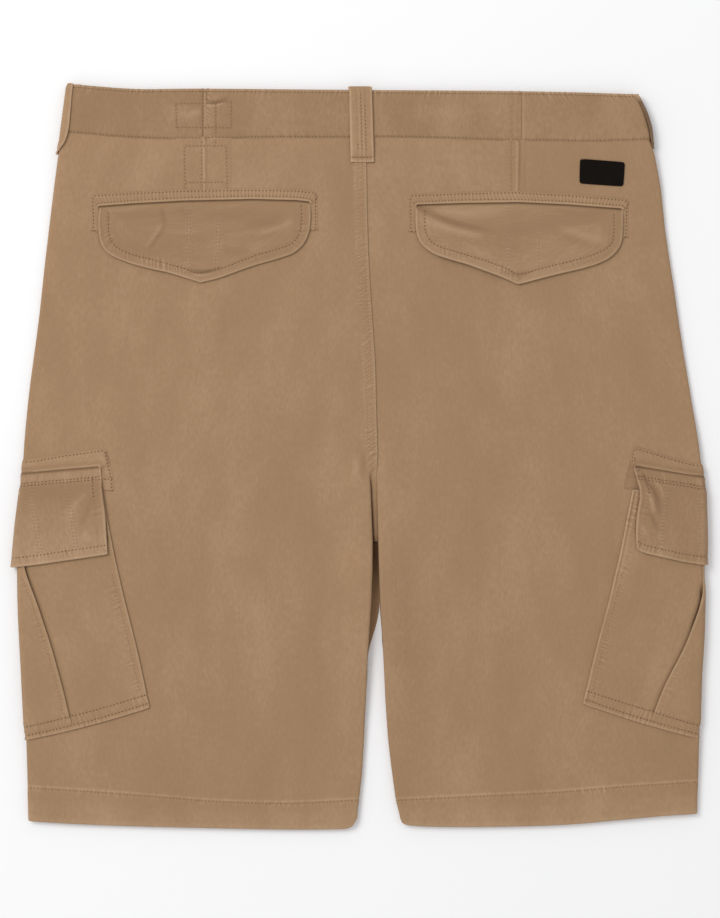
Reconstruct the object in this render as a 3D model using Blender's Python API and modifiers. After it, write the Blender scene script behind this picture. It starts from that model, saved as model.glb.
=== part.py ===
"""Men's cargo shorts in washed cotton twill, laid out flat with the back up.

Sizes and tables are in millimetres, and the mesh is in metres. X runs from the wearer's left
(minus) to the wearer's right, Y from the hems up to the waist and Z up from the surface.

Each half of the shorts is a flattened tube. A section of it runs from the fold at the side of
the leg inwards to the centre seam, or to the inner fold of the leg. The back panel is its
upper wall and the front panel its lower wall, and both use the same points in X and Y, so the
walls lie evenly on each other. Whatever is sewn on is made from the same points, moved out.
"""
import math
from collections import namedtuple

import bmesh
import bpy
import numpy as np
from mathutils import Vector
from mathutils.bvhtree import BVHTree

MM = 0.001

# Driving dimensions, in millimetres
CLOTH = 1.1              # one layer of washed twill
HEM = 2.1                # the turned hem
WAISTBAND = 2.2          # the folded waistband
WAISTBAND_PROUD = 0.5    # how far the waistband stands above the panels on each face
POCKET = 1.0             # the cargo pocket's cloth
FLAP = 1.5               # a flap, two layers
FACING = 2.0             # a folded pocket facing
LOOP = 1.5               # a folded belt loop
LOOP_WIDTH = 17.0
PATCH = 1.0
SEAM = 0.3               # gap between two pieces that are sewn or that lie on each other
FOLD_SEAM = 0.43         # half the gap between front and back at the outer face of a side seam
WRAP_EASE = 0.1          # and what goes round a leg lies this much looser
RAMP = 40.0              # width over which the leg comes down beside a cargo pocket
FOLD_EASE = 8.0          # width beside a fold over which its space between the walls holds
SIDE_PLACE = 26.0        # a section's next point in from there
INNER_EASE = 25.0        # width over which the cloth rises towards the inside of the leg
INNER_RISE = 0.8         # and how much of that rise is done before the inner fold itself
SEAM_ROUND = 3.0         # width over which the cloth turns down at the centre seam
DROP_WIDTH = 100.0       # width over which the front's lower cut comes in from the side
PLEAT_RISE = 1.4         # the box pleat's middle lies this far above the pocket
PLEAT_START = 3.0        # the pleat's middle rises from where it is wider than this
PLEAT_SLOPE = 0.9        # width of its edge where it is narrow
PLEAT_SLOPE_LOW = 1.6    # and where it is wide
PLEAT_WIDE = 5.0
FOLD_REST = 0.2          # a wrapped piece keeps its first flat point this far from the fold
PLEAT_REST = 0.3         # and its pleat this far from that point
ARC_STEPS = 3            # steps in a quarter turn round a fold
BUTTON_DIAMETER = 17.0
BUTTON_THICKNESS = 1.8
BUTTON_RIM = 0.4
LEFT, RIGHT = -1, 1
BACK, FRONT = 1, -1

# One half's outline, a row for each section: Y at the side fold, half way and at the inner
# end, then X at the side fold and at the inner end
Outline = namedtuple("Outline", "y_out y_mid y_in x_out x_in")
OUTLINES = {
    LEFT: [
        Outline(282.3, 278.8, 278.5, -222.3, -1.5),      # waistband top
        Outline(246.2, 240.3, 241.3, -226.5, -1.1),      # waistband seam
        Outline(226.0, 224.0, 224.0, -229.2, -1.1),      # lower ends of the belt loops
        Outline(193.0, 193.0, 193.0, -233.5, -1.1),      # back pocket
        Outline(149.3, 149.3, 149.3, -238.6, 0.4),       # hip
        Outline(96.1, 96.1, 96.1, -244.6, 4.8),          # seat
        Outline(42.9, 42.9, 42.9, -251.6, 7.2),          # above the cargo pocket
        Outline(8.0, 8.0, 8.0, -254.8, 7.4),             # cargo facing
        Outline(-16.3, -16.3, -16.3, -256.0, 8.4),       # the legs begin to part
        Outline(-24.0, -24.0, -24.0, -256.4, 9.0),       # cargo pocket top
        Outline(-64.2, -64.2, -64.2, -257.6, 10.5),      # crotch
        Outline(-85.0, -85.0, -85.0, -257.9, 10.3),      # cargo flap's lower edge
        Outline(-109.1, -109.1, -109.1, -257.7, 9.5),
        Outline(-147.1, -147.1, -147.1, -256.3, 7.0),
        Outline(-185.1, -185.1, -185.1, -254.6, 5.3),
        Outline(-217.0, -217.0, -217.0, -253.0, 2.9),    # cargo pocket bottom
        Outline(-252.0, -261.0, -260.0, -252.3, -0.8),   # hem stitching
        Outline(-277.0, -283.0, -281.0, -251.6, -2.7),   # hem
    ],
    RIGHT: [
        Outline(275.1, 277.2, 278.2, 212.0, 4.9),
        Outline(240.5, 239.6, 241.5, 221.5, 5.3),
        Outline(226.0, 224.0, 224.0, 224.3, 5.5),
        Outline(193.0, 193.0, 193.0, 230.6, 6.3),
        Outline(149.3, 149.3, 149.3, 235.2, 7.6),
        Outline(96.1, 96.1, 96.1, 243.2, 10.8),
        Outline(42.9, 42.9, 42.9, 252.3, 13.1),
        Outline(8.0, 8.0, 8.0, 257.3, 14.0),
        Outline(-16.3, -16.3, -16.3, 259.4, 13.5),
        Outline(-24.0, -24.0, -24.0, 260.1, 13.7),
        Outline(-64.2, -64.2, -64.2, 261.1, 14.7),
        Outline(-85.0, -85.0, -85.0, 261.1, 15.2),
        Outline(-109.1, -109.1, -109.1, 260.7, 16.1),
        Outline(-147.1, -147.1, -147.1, 259.5, 18.3),
        Outline(-185.1, -185.1, -185.1, 258.4, 20.1),
        Outline(-217.0, -217.0, -217.0, 257.2, 22.1),
        Outline(-246.0, -256.0, -261.0, 256.9, 26.6),
        Outline(-271.7, -280.9, -280.5, 256.9, 29.6),
    ],
}

# Heights of the same sections: the front's underside away from the pockets, how much higher it
# lies on a cargo pocket, how far that reaches in from the fold, the space between the two walls
# at the fold, on the pocket, in the middle and at the inner end, the depth of the valley between
# the legs, and how much lower the front is cut
Height = namedtuple("Height", "floor lift reach gap_out gap_pocket gap_mid gap_in valley drop")
HEIGHTS = [
    Height(2.6, 0.0, 60, 2.6, 1.8, 1.8, 1.8, 0.0, 10.0),
    Height(2.6, 0.0, 60, 2.6, 1.8, 1.8, 1.8, 0.0, 9.0),
    Height(2.6, 0.0, 60, 2.5, 1.4, 1.4, 1.4, 0.0, 7.0),
    Height(0.0, 0.0, 60, 2.4, 0.9, 0.9, 0.9, 0.0, 4.0),
    Height(0.0, 0.0, 60, 2.4, 0.5, 0.5, 0.6, 0.0, 0.0),
    Height(0.0, 0.0, 62, 2.4, 0.5, 0.5, 0.8, 0.0, 0.0),
    Height(0.0, 0.0, 66, 2.0, 0.6, 0.5, 1.2, 0.0, 0.0),
    Height(0.0, 2.4, 72, 1.5, 1.5, 0.5, 2.2, 0.0, 0.0),
    Height(0.0, 2.4, 76, 1.5, 1.5, 0.5, 3.4, 0.8, 0.0),
    Height(0.0, 3.3, 78, 1.5, 1.5, 0.5, 4.4, 2.8, 0.0),
    Height(0.0, 3.3, 82, 1.5, 1.5, 0.6, 5.0, 4.6, 0.0),
    Height(0.0, 3.3, 84, 1.5, 1.5, 0.6, 4.8, 0.0, 0.0),
    Height(0.0, 2.8, 88, 1.5, 1.5, 0.6, 4.2, 0.0, 0.0),
    Height(0.0, 2.8, 94, 1.5, 1.5, 0.6, 3.6, 0.0, 0.0),
    Height(0.0, 2.8, 101, 1.5, 1.5, 0.6, 3.2, 0.0, 0.0),
    Height(0.0, 2.8, 103, 1.6, 1.6, 0.8, 3.0, 0.0, 0.0),
    Height(0.0, 0.0, 95, 3.2, 2.9, 2.8, 3.1, 0.0, 0.0),
    Height(0.0, 0.0, 95, 3.2, 2.9, 2.8, 3.1, 0.0, 0.0),
]
WAIST_SEAM, CROTCH, HEM_STITCHING = 1, 10, 16

# The seams where the centre back piece of the waistband meets the side pieces
BACK_SEAMS = {LEFT: -117.2, RIGHT: 123.7}

# Cargo pocket, a row for each section: Y at its straight edge and at the side fold, the distance
# from the fold to that edge, and from the fold to the edge of the box pleat
Pocket = namedtuple("Pocket", "y_edge y_fold reach pleat")
CARGO_POCKETS = {
    LEFT: [
        Pocket(-25.1, -26.0, 61.6, 2.4),
        Pocket(-53.2, -55.5, 67.4, 2.8),
        Pocket(-80.2, -84.2, 72.6, 2.8),
        Pocket(-83.0, -89.0, 73.4, 5.0),
        Pocket(-109.1, -112.1, 79.6, 13.0),
        Pocket(-139.5, -145.5, 86.0, 23.6),
        Pocket(-166.1, -180.5, 90.7, 32.0),
        Pocket(-190.0, -215.5, 94.8, 36.5),
    ],
    RIGHT: [
        Pocket(-25.1, -26.0, 51.5, 2.4),
        Pocket(-53.2, -55.5, 57.7, 2.5),
        Pocket(-80.2, -84.2, 63.7, 2.6),
        Pocket(-104.0, -110.0, 69.0, 3.2),
        Pocket(-139.5, -145.5, 77.9, 13.3),
        Pocket(-166.1, -180.5, 82.8, 25.8),
        Pocket(-188.5, -214.5, 86.3, 33.8),
    ],
}

# Cargo flap: Y at the straight edge and at the fold, the reach of that edge, the height above
# the leg, and how far the fold stands off
CargoFlap = namedtuple("CargoFlap", "y_edge y_fold reach lift flare")
CARGO_FLAPS = {
    LEFT: [
        CargoFlap(-7.6, -12.7, 59.4, 0.4, 0.0),
        CargoFlap(-16.3, -19.5, 60.4, 0.5, 0.1),
        CargoFlap(-24.1, -24.7, 61.0, 1.8, 0.3),
        CargoFlap(-45.0, -52.0, 64.4, 1.8, 1.4),
        CargoFlap(-72.7, -83.8, 66.7, 1.8, 3.3),
    ],
    RIGHT: [
        CargoFlap(-8.3, -15.3, 49.9, 0.4, 0.0),
        CargoFlap(-16.3, -19.8, 46.8, 0.5, 0.0),
        CargoFlap(-24.1, -24.7, 46.0, 1.8, 0.1),
        CargoFlap(-45.0, -52.0, 47.4, 1.8, 0.2),
        CargoFlap(-69.1, -83.1, 48.3, 1.8, 0.3),
    ],
}

# A facing is a strip with an outer and an inner edge. On the leg X is the distance from the fold
Strip = namedtuple("Strip", "x_outer y_outer x_inner y_inner")
CARGO_FACINGS = {
    LEFT: [
        Strip(70.2, -27.4, 62.6, -27.4),
        Strip(69.7, -24.0, 62.3, -24.0),
        Strip(68.6, -16.4, 61.7, -16.4),
        Strip(66.4, -6.9, 60.6, -9.0),
        Strip(62.4, 5.6, 59.6, -7.2),
        Strip(31.0, 1.8, 31.0, -9.3),
        Strip(8.0, -2.0, 8.0, -11.6),
    ],
    RIGHT: [
        Strip(58.6, -24.7, 47.2, -24.7),
        Strip(57.2, -16.4, 47.9, -16.4),
        Strip(54.0, -5.4, 49.9, -9.0),
        Strip(48.4, 6.6, 50.2, -8.0),
        Strip(25.0, -0.4, 25.0, -10.6),
        Strip(8.0, -4.6, 8.0, -13.2),
    ],
}
FACING_AT_FOLD = {LEFT: (-2.6, -12.4), RIGHT: (-5.5, -15.0)}

BACK_FACINGS = {
    LEFT: [
        Strip(-203.5, 170.1, -198.8, 170.1),
        Strip(-203.5, 199.5, -198.8, 190.4),
        Strip(-133.0, 203.3, -132.2, 194.9),
        Strip(-44.8, 203.5, -47.5, 195.0),
        Strip(-31.2, 200.3, -35.9, 193.7),
        Strip(-30.9, 171.1, -35.3, 171.1),
    ],
    RIGHT: [
        Strip(38.0, 169.6, 42.7, 169.6),
        Strip(37.6, 199.7, 42.7, 191.7),
        Strip(118.0, 201.9, 121.9, 193.6),
        Strip(204.7, 196.0, 200.9, 188.6),
        Strip(205.2, 165.0, 200.9, 165.0),
    ],
}

# Back pocket flap, a row for each line down it: X, and Y at its lower edge
FlapLine = namedtuple("FlapLine", "x y_low")
BACK_FLAPS = {
    LEFT: [
        FlapLine(-198.4, 172.0), FlapLine(-196.6, 162.6), FlapLine(-191.5, 154.6),
        FlapLine(-184.0, 150.0), FlapLine(-158.0, 141.7), FlapLine(-138.0, 137.6),
        FlapLine(-120.5, 132.2), FlapLine(-105.1, 135.8), FlapLine(-77.0, 145.7),
        FlapLine(-55.0, 152.2), FlapLine(-45.0, 157.6), FlapLine(-39.5, 164.6),
        FlapLine(-36.5, 175.0),
    ],
    RIGHT: [
        FlapLine(43.2, 174.0), FlapLine(46.2, 164.5), FlapLine(52.5, 156.8),
        FlapLine(68.4, 149.3), FlapLine(96.1, 141.1), FlapLine(110.0, 136.2),
        FlapLine(121.9, 131.5), FlapLine(142.1, 136.4), FlapLine(169.8, 143.0),
        FlapLine(187.0, 148.6), FlapLine(195.0, 154.8), FlapLine(199.2, 162.6),
        FlapLine(200.4, 173.0),
    ],
}
FLAP_STEPS = (0.0, 0.34, 0.72, 1.0)          # how far down the flap its cross rows lie
FLAP_STANDS = (0.3, 0.3, 0.5, 0.6)           # and their height above the panel

# Centre back belt loop, from its hook over the waistband down: Y, and its outer face's height
# above the cloth below
LoopRow = namedtuple("LoopRow", "y stand")
BACK_LOOP = [
    LoopRow(281.1, -1.5), LoopRow(281.1, 1.4), LoopRow(279.9, 2.3), LoopRow(274.0, 2.5),
    LoopRow(256.0, 2.7), LoopRow(244.0, 2.4), LoopRow(236.0, 2.2), LoopRow(223.4, 1.9),
]
BACK_LOOP_TOP_X, BACK_LOOP_BOTTOM_X = 0.6, 2.2     # its middle at the two ends
BACK_LOOP_HOOK_Y = 277.5     # its hook stands over the band's cloth just inside the top edge

# Side and front belt loops: distance of their two edges in from the fold, back side positive,
# at the waist and at the lower end, and the lowest section that they reach
SideLoop = namedtuple("SideLoop", "top_back top_front low_back low_front last")
SIDE_LOOPS = {LEFT: SideLoop(7.6, -9.4, -0.4, -17.4, 1.83),
              RIGHT: SideLoop(1.6, -15.4, 0.8, -16.2, 1.45)}
FRONT_LOOP_INWARD = 118.0
FRONT_LOOP_LAST = 2.0
LOOP_EASE = 0.3          # a side loop stands a little off the fold
LOOP_OUT = WAISTBAND_PROUD + SEAM + LOOP
LOOP_ROWS, LOOP_STEPS = 8, 12
LOOP_START = -0.03       # a little above the waistband's top edge

PATCH_CORNERS = {"top": ((168.3, 225.8), (201.6, 223.1)), "low": ((168.0, 207.9), (200.6, 205.6))}
BUTTON_INWARD_OF_CENTRE = 14.0

KHAKI = (0.376, 0.231, 0.130)
KHAKI_DARK = (0.342, 0.209, 0.117)
BLACK = (0.010, 0.007, 0.006)
HORN = (0.070, 0.042, 0.024)


# ---------------------------------------------------------------- sections and points

def section(side, k):
    """The section at row k of the tables, mixed from the rows around it when k is between two"""
    first = max(0, min(int(math.floor(k)), len(HEIGHTS) - 2))
    part = k - first
    outline_rows, height_rows = OUTLINES[side][first:first + 2], HEIGHTS[first:first + 2]
    outline = Outline(*[a + (b - a) * part for a, b in zip(*outline_rows)])
    height = Height(*[a + (b - a) * part for a, b in zip(*height_rows)])
    return outline, height


def row_at(side, y):
    """The table row, as a decimal, whose side fold lies at y"""
    folds = [row.y_out for row in OUTLINES[side]]
    return float(np.interp(-y, [-fold for fold in folds], range(len(folds))))


def width_of(outline):
    return abs(outline.x_in - outline.x_out)


def floor_height(height, inward):
    """Underside of the front panel"""
    return float(np.interp(inward, [height.reach, height.reach + RAMP],
                           [height.floor + height.lift, height.floor]))


def wall_gap(height, inward, width):
    """Space between the two walls, from the side fold to the inner end"""
    near_inner = height.gap_mid + INNER_RISE * (height.gap_in - height.gap_mid)
    places = [FOLD_EASE, height.reach, height.reach + RAMP, width - INNER_EASE, width - FOLD_EASE,
              width]
    gaps = [height.gap_out, height.gap_pocket, height.gap_mid, height.gap_mid, near_inner,
            height.gap_in]
    return float(np.interp(inward, places, gaps))


def level(outline, height, inward, face):
    """Z of the outer face of the back panel or of the front panel"""
    floor = floor_height(height, inward)
    if face == FRONT:
        return floor
    return floor + 2 * CLOTH + wall_gap(height, inward, width_of(outline))


def row_y(outline, height, inward, face):
    """Y along a section: a curve through its three heights, cut lower at the centre front"""
    share = inward / width_of(outline)
    bend = 4 * (outline.y_mid - (outline.y_out + outline.y_in) / 2)
    y = outline.y_out + (outline.y_in - outline.y_out) * share + bend * share * (1 - share)
    return y - (height.drop * min(1.0, inward / DROP_WIDTH) if face == FRONT else 0.0)


def flat_point(side, k, inward, out, face):
    """A point on the flat part of a half, moved out from the panel"""
    outline, height = section(side, k)
    x = outline.x_out - side * inward
    z = level(outline, height, inward, face) + face * out
    return x, row_y(outline, height, inward, face), z


def fold_radius(side, k):
    outline, height = section(side, k)
    return (level(outline, height, 0.0, BACK) - level(outline, height, 0.0, FRONT)) / 2


def fold_point(side, k, angle, out, stand_off=0.0, split=0.0):
    """A point round the side fold: angle 90 degrees is the back, -90 the front"""
    outline, height = section(side, k)
    radius = fold_radius(side, k)
    middle = level(outline, height, 0.0, FRONT) + radius
    x = outline.x_out - side * (radius - stand_off) + side * (radius + out) * math.cos(angle)
    rise = (radius + out) * math.sin(angle)
    return x, outline.y_out, middle + rise + math.copysign(split, rise) * (1 - abs(math.sin(angle)))


def quarter(start, end):
    return [math.radians(start + (end - start) * i / ARC_STEPS) for i in range(ARC_STEPS + 1)]


def whole_fold():
    return [math.radians(90 - 90 * i / ARC_STEPS) for i in range(2 * ARC_STEPS + 1)]


# ---------------------------------------------------------------- objects

def clear_scene():
    for old in list(bpy.data.objects):
        bpy.data.objects.remove(old, do_unlink=True)


def material(name, colour, roughness):
    finish = bpy.data.materials.get(name)
    if finish is None:
        finish = bpy.data.materials.new(name)
        finish.use_nodes = True
        shader = finish.node_tree.nodes["Principled BSDF"]
        shader.inputs["Base Color"].default_value = (*colour, 1.0)
        shader.inputs["Roughness"].default_value = roughness
        shader.inputs["Metallic"].default_value = 0.0
    return finish


def loft(name, rows, faces_up, thickness, finish, tested=0):
    """A cloth wall: an open surface through rows of points, given its thickness by Solidify.

    The points are on the outer face. A row may be longer than the next one, where a strip ends.
    The face numbered tested is one whose outer side is known to look up, or down.
    """
    bm = bmesh.new()
    grid = [[bm.verts.new(Vector(point) * MM) for point in row] for row in rows]
    for upper, lower in zip(grid, grid[1:]):
        for c in range(min(len(upper), len(lower)) - 1):
            bm.faces.new((upper[c], lower[c], lower[c + 1], upper[c + 1]))
    bm.normal_update()
    bm.faces.ensure_lookup_table()
    if (bm.faces[tested].normal.z > 0) != faces_up:
        bmesh.ops.reverse_faces(bm, faces=bm.faces[:])
    SURFACES[name] = BVHTree.FromBMesh(bm)
    mesh = bpy.data.meshes.new(name)
    bm.to_mesh(mesh)
    bm.free()
    mesh.materials.append(finish)
    mesh.shade_smooth()
    piece = bpy.data.objects.new(name, mesh)
    PARTS.objects.link(piece)
    piece.parent = HOLDER
    wall = piece.modifiers.new("Wall", "SOLIDIFY")
    wall.thickness = thickness * MM
    wall.offset = -1.0
    return piece


def resting_height(x, y, names):
    """Height of the cloth at x, y: the highest of the named outer faces"""
    hits = []
    for name in names:
        hit = SURFACES[name].ray_cast(Vector((x * MM, y * MM, 1.0)), Vector((0, 0, -1)))
        if hit[0] is not None:
            hits.append(hit[0].z / MM)
    return max(hits)


# ---------------------------------------------------------------- panels

def section_places(outline, height):
    """Distances from the side fold at which a section has its points, between its two ends"""
    width = width_of(outline)
    ramp_end = height.reach + RAMP
    ease = width - INNER_EASE
    middle = [ramp_end + (ease - ramp_end) * share for share in (0.25, 0.5, 0.75)]
    return [FOLD_EASE, SIDE_PLACE, height.reach, ramp_end] + middle + [ease, width - FOLD_EASE]


def inner_end(side, k, face):
    """The last points of a section: flat on the body, down into the valley, or round the leg"""
    outline, height = section(side, k)
    width = width_of(outline)
    top = level(outline, height, width, face)
    if k > CROTCH:
        reach = (level(outline, height, width, BACK) - level(outline, height, width, FRONT)) / 2
        depth = reach - fold_seam(k)
    else:
        reach = SEAM_ROUND
        depth = height.valley if face == BACK else 0.0
    points = []
    for angle in quarter(0, 90):
        inward = width - reach * (1 - math.sin(angle))
        x = outline.x_out - side * inward
        points.append((x, row_y(outline, height, inward, face),
                       top - face * depth * (1 - math.cos(angle))))
    return points


def fell(k, face):
    """The felled centre seam on the left half, from its fold to the right half's edge"""
    last = inner_end(LEFT, k, face)[-1]
    seam_x = OUTLINES[RIGHT][k].x_in - SEAM
    return [(last[0] + (seam_x - last[0]) * share, last[1], last[2]) for share in (0.5, 1.0)]


def fold_seam(k):
    """Half the opening of a seam in a fold, wider where the wall is a thick hem"""
    return FOLD_SEAM * (HEM / CLOTH if k >= HEM_STITCHING else 1.0)


def panel_row(side, k, face):
    outline, height = section(side, k)
    outer = [fold_point(side, k, face * angle, 0.0, split=fold_seam(k)) for angle in quarter(0, 90)]
    middle = [flat_point(side, k, inward, 0.0, face) for inward in section_places(outline, height)]
    row = outer + middle + inner_end(side, k, face)
    if side == LEFT and k <= CROTCH:
        row += fell(k, face)
    return row


def make_panel(name, side, face):
    rows = [panel_row(side, k, face) for k in range(WAIST_SEAM, len(HEIGHTS))]
    panel = loft(name, rows, face == BACK, HEM, material("khaki_twill", KHAKI, 0.85))
    above_hem = sum(len(row) for row in rows[:HEM_STITCHING - WAIST_SEAM])
    hem = panel.vertex_groups.new(name="hem")
    hem.add(range(above_hem, len(panel.data.vertices)), 1.0, "REPLACE")
    panel.modifiers["Wall"].vertex_group = "hem"
    panel.modifiers["Wall"].thickness_vertex_group = CLOTH / HEM
    return panel


# ---------------------------------------------------------------- waistband and loops

WAISTBAND_ROWS = (0.0, 0.5, 1.0)


def band_point(side, k, inward, face):
    x, y, z = flat_point(side, k, inward, WAISTBAND_PROUD, face)
    return x, y + SEAM * k, z


def make_waistband_side(name, side):
    """From the back seam round the side fold to the centre front"""
    rows = []
    for k in WAISTBAND_ROWS:
        outline, height = section(side, k)
        back = abs(BACK_SEAMS[side] - outline.x_out) - SEAM / 2
        centre = abs(OUTLINES[RIGHT][0].x_in - outline.x_out) - SEAM / 2
        places = section_places(outline, height)
        back_places = [back] + [place for place in reversed(places) if place < back]
        front_places = [place for place in places if place < centre] + [centre]
        row = [band_point(side, k, inward, BACK) for inward in back_places]
        row += [(x, y + (SEAM + FOLD_SEAM) * k, z) for x, y, z in
                (fold_point(side, k, angle, WAISTBAND_PROUD) for angle in whole_fold())]
        row += [band_point(side, k, inward, FRONT) for inward in front_places]
        rows.append(row)
    return loft(name, rows, True, WAISTBAND, material("khaki_band", KHAKI_DARK, 0.85))


def make_waistband_back():
    rows = []
    for k in WAISTBAND_ROWS:
        halves = []
        for side in (LEFT, RIGHT):
            outline, height = section(side, k)
            start = abs(BACK_SEAMS[side] - outline.x_out) + SEAM / 2
            places = [place for place in section_places(outline, height) if place > start + 1]
            places = [start] + places + [width_of(outline)]
            halves.append([band_point(side, k, inward, BACK) for inward in places])
        rows.append(halves[0] + halves[1][::-1])
    return loft("waistband_back", rows, True, WAISTBAND, material("khaki_band", KHAKI_DARK, 0.85))


def make_back_loop():
    names = ("waistband_back", "back_left", "back_right")
    rows = []
    for number, (y, stand) in enumerate(BACK_LOOP):
        share = (BACK_LOOP[0].y - y) / (BACK_LOOP[0].y - BACK_LOOP[-1].y)
        middle = BACK_LOOP_TOP_X + (BACK_LOOP_BOTTOM_X - BACK_LOOP_TOP_X) * share
        on_cloth = min(y, BACK_LOOP_HOOK_Y)
        rows.append([(x, y, resting_height(x, on_cloth, names) + stand)
                     for x in (middle - LOOP_WIDTH / 2, middle, middle + LOOP_WIDTH / 2)])
    return loft("belt_loop_back", rows, True, LOOP, material("khaki_loop", KHAKI, 0.85), tested=6)


def wrapped_point(side, k, inward, out):
    """A point at a distance from the side fold, round the fold where that is near it"""
    radius = fold_radius(side, k)
    if abs(inward) <= radius * math.pi / 2:
        return fold_point(side, k, inward / radius, out)
    face = BACK if inward > 0 else FRONT
    return flat_point(side, k, abs(inward) - radius * (math.pi / 2 - 1), out, face)


def make_side_loop(name, side):
    loop = SIDE_LOOPS[side]
    rows = []
    for share in [number / LOOP_ROWS for number in range(LOOP_ROWS + 1)]:
        k = LOOP_START + (loop.last - LOOP_START) * share
        back = loop.top_back + (loop.low_back - loop.top_back) * share
        front = loop.top_front + (loop.low_front - loop.top_front) * share
        places = [back + (front - back) * step / LOOP_STEPS for step in range(LOOP_STEPS + 1)]
        rows.append([wrapped_point(side, k, place, LOOP_OUT + LOOP_EASE) for place in places])
    return loft(name, rows, True, LOOP, material("khaki_loop", KHAKI, 0.85))


def make_front_loop(name, side):
    rows = []
    for k in (LOOP_START, 0.5, 1.0, FRONT_LOOP_LAST):
        rows.append([flat_point(side, k, FRONT_LOOP_INWARD + step * LOOP_WIDTH / 2, LOOP_OUT, FRONT)
                     for step in (-1, 0, 1)])
    return loft(name, rows, False, LOOP, material("khaki_loop", KHAKI, 0.85))


# ---------------------------------------------------------------- back pockets

def make_back_facing(name, side):
    """A folded strip bent as an upside down U round the top of the flap"""
    panel = "back_left" if side == LEFT else "back_right"
    rows = []
    for x_outer, y_outer, x_inner, y_inner in BACK_FACINGS[side]:
        rows.append([(x, y, resting_height(x, y, (panel,)) + SEAM + FACING)
                     for x, y in ((x_outer, y_outer), (x_inner, y_inner))])
    return loft(name, rows, True, FACING, material("khaki_facing", KHAKI, 0.85))


def make_back_flap(name, side):
    panel = "back_left" if side == LEFT else "back_right"
    edge = sorted((strip.x_inner, strip.y_inner) for strip in BACK_FACINGS[side][1:-1])
    rows = []
    for step, stand in zip(FLAP_STEPS, FLAP_STANDS):
        row = []
        for x, y_low in BACK_FLAPS[side]:
            y_top = float(np.interp(x, [p[0] for p in edge], [p[1] for p in edge])) - SEAM
            y = y_top + (y_low - y_top) * step
            row.append((x, y, resting_height(x, y, (panel,)) + stand + FLAP))
        rows.append(row)
    return loft(name, rows, True, FLAP, material("khaki_flap", KHAKI_DARK, 0.85))


def make_patch():
    (top_a, top_b), (low_a, low_b) = PATCH_CORNERS["top"], PATCH_CORNERS["low"]
    rows = []
    for down in (0.0, 0.5, 1.0):
        start = [a + (b - a) * down for a, b in zip(top_a, low_a)]
        end = [a + (b - a) * down for a, b in zip(top_b, low_b)]
        row = []
        for along in (0.0, 0.5, 1.0):
            x, y = [a + (b - a) * along for a, b in zip(start, end)]
            row.append((x, y, resting_height(x, y, ("back_right",)) + SEAM + PATCH))
        rows.append(row)
    return loft("patch", rows, True, PATCH, material("black_patch", BLACK, 0.6))


# ---------------------------------------------------------------- cargo pockets

def leg_point(side, y, inward, out, face):
    """A point beside the side fold of the leg at a height y"""
    x, _, z = flat_point(side, row_at(side, y), inward, out, face)
    return x, y, z


def leg_fold(side, y, out, stand_off=0.0):
    row = row_at(side, y)
    points = [fold_point(side, row, angle, out, stand_off) for angle in whole_fold()]
    return [(x, y, z) for x, _, z in points]


def around_leg(side, y_fold, half, out_at_fold, stand_off=0.0):
    """A whole section round the leg: one half's points on the back, the fold, and the front"""
    back = [leg_point(side, y, inward, out, BACK) for y, inward, out in half]
    front = [leg_point(side, y, inward, out, FRONT) for y, inward, out in reversed(half)]
    return back + leg_fold(side, y_fold, out_at_fold, stand_off) + front


def make_cargo_pocket(name, side):
    """One piece round the leg, whose box pleat widens downwards over the fold"""
    low = SEAM + WRAP_EASE + POCKET
    high = low + PLEAT_RISE
    rows = []
    for y_edge, y_fold, reach, pleat in CARGO_POCKETS[side]:
        half = []
        step = PLEAT_SLOPE if pleat < PLEAT_WIDE else PLEAT_SLOPE_LOW
        fold_end = fold_radius(side, row_at(side, y_fold)) + FOLD_REST
        inner = max(pleat, fold_end + PLEAT_REST)
        raised = high if pleat > PLEAT_START else low
        for inward, out in ((reach, low), ((reach + inner) / 2, low), (inner + step, low),
                            (inner, raised), ((inner + fold_end) / 2, raised)):
            y = y_fold + (y_edge - y_fold) * inward / reach
            half.append((y, inward, out))
        rows.append(around_leg(side, y_fold, half, raised))
    return loft(name, rows, True, POCKET, material("khaki_cargo", KHAKI, 0.85))


def make_cargo_flap(name, side):
    rows = []
    for y_edge, y_fold, reach, lift, flare in CARGO_FLAPS[side]:
        half = []
        for share in (1.0, 0.6, 0.2):
            y = y_fold + (y_edge - y_fold) * share
            half.append((y, reach * share, lift + FLAP))
        rows.append(around_leg(side, y_fold, half, lift + FLAP, flare))
    return loft(name, rows, True, FLAP, material("khaki_flap", KHAKI_DARK, 0.85))


def make_cargo_facing(name, side):
    """A folded strip round the leg over the top of the flap, with a short end down each side"""
    out = SEAM + WRAP_EASE + FACING
    rows = []
    for strip in CARGO_FACINGS[side]:
        rows.append([leg_point(side, strip.y_outer, strip.x_outer, out, BACK),
                     leg_point(side, strip.y_inner, strip.x_inner, out, BACK)])
    y_outer, y_inner = FACING_AT_FOLD[side]
    rows += [list(pair) for pair in zip(leg_fold(side, y_outer, out), leg_fold(side, y_inner, out))]
    for strip in reversed(CARGO_FACINGS[side]):
        rows.append([leg_point(side, strip.y_outer, strip.x_outer, out, FRONT),
                     leg_point(side, strip.y_inner, strip.x_inner, out, FRONT)])
    return loft(name, rows, True, FACING, material("khaki_facing", KHAKI, 0.85))


# ---------------------------------------------------------------- button

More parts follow.
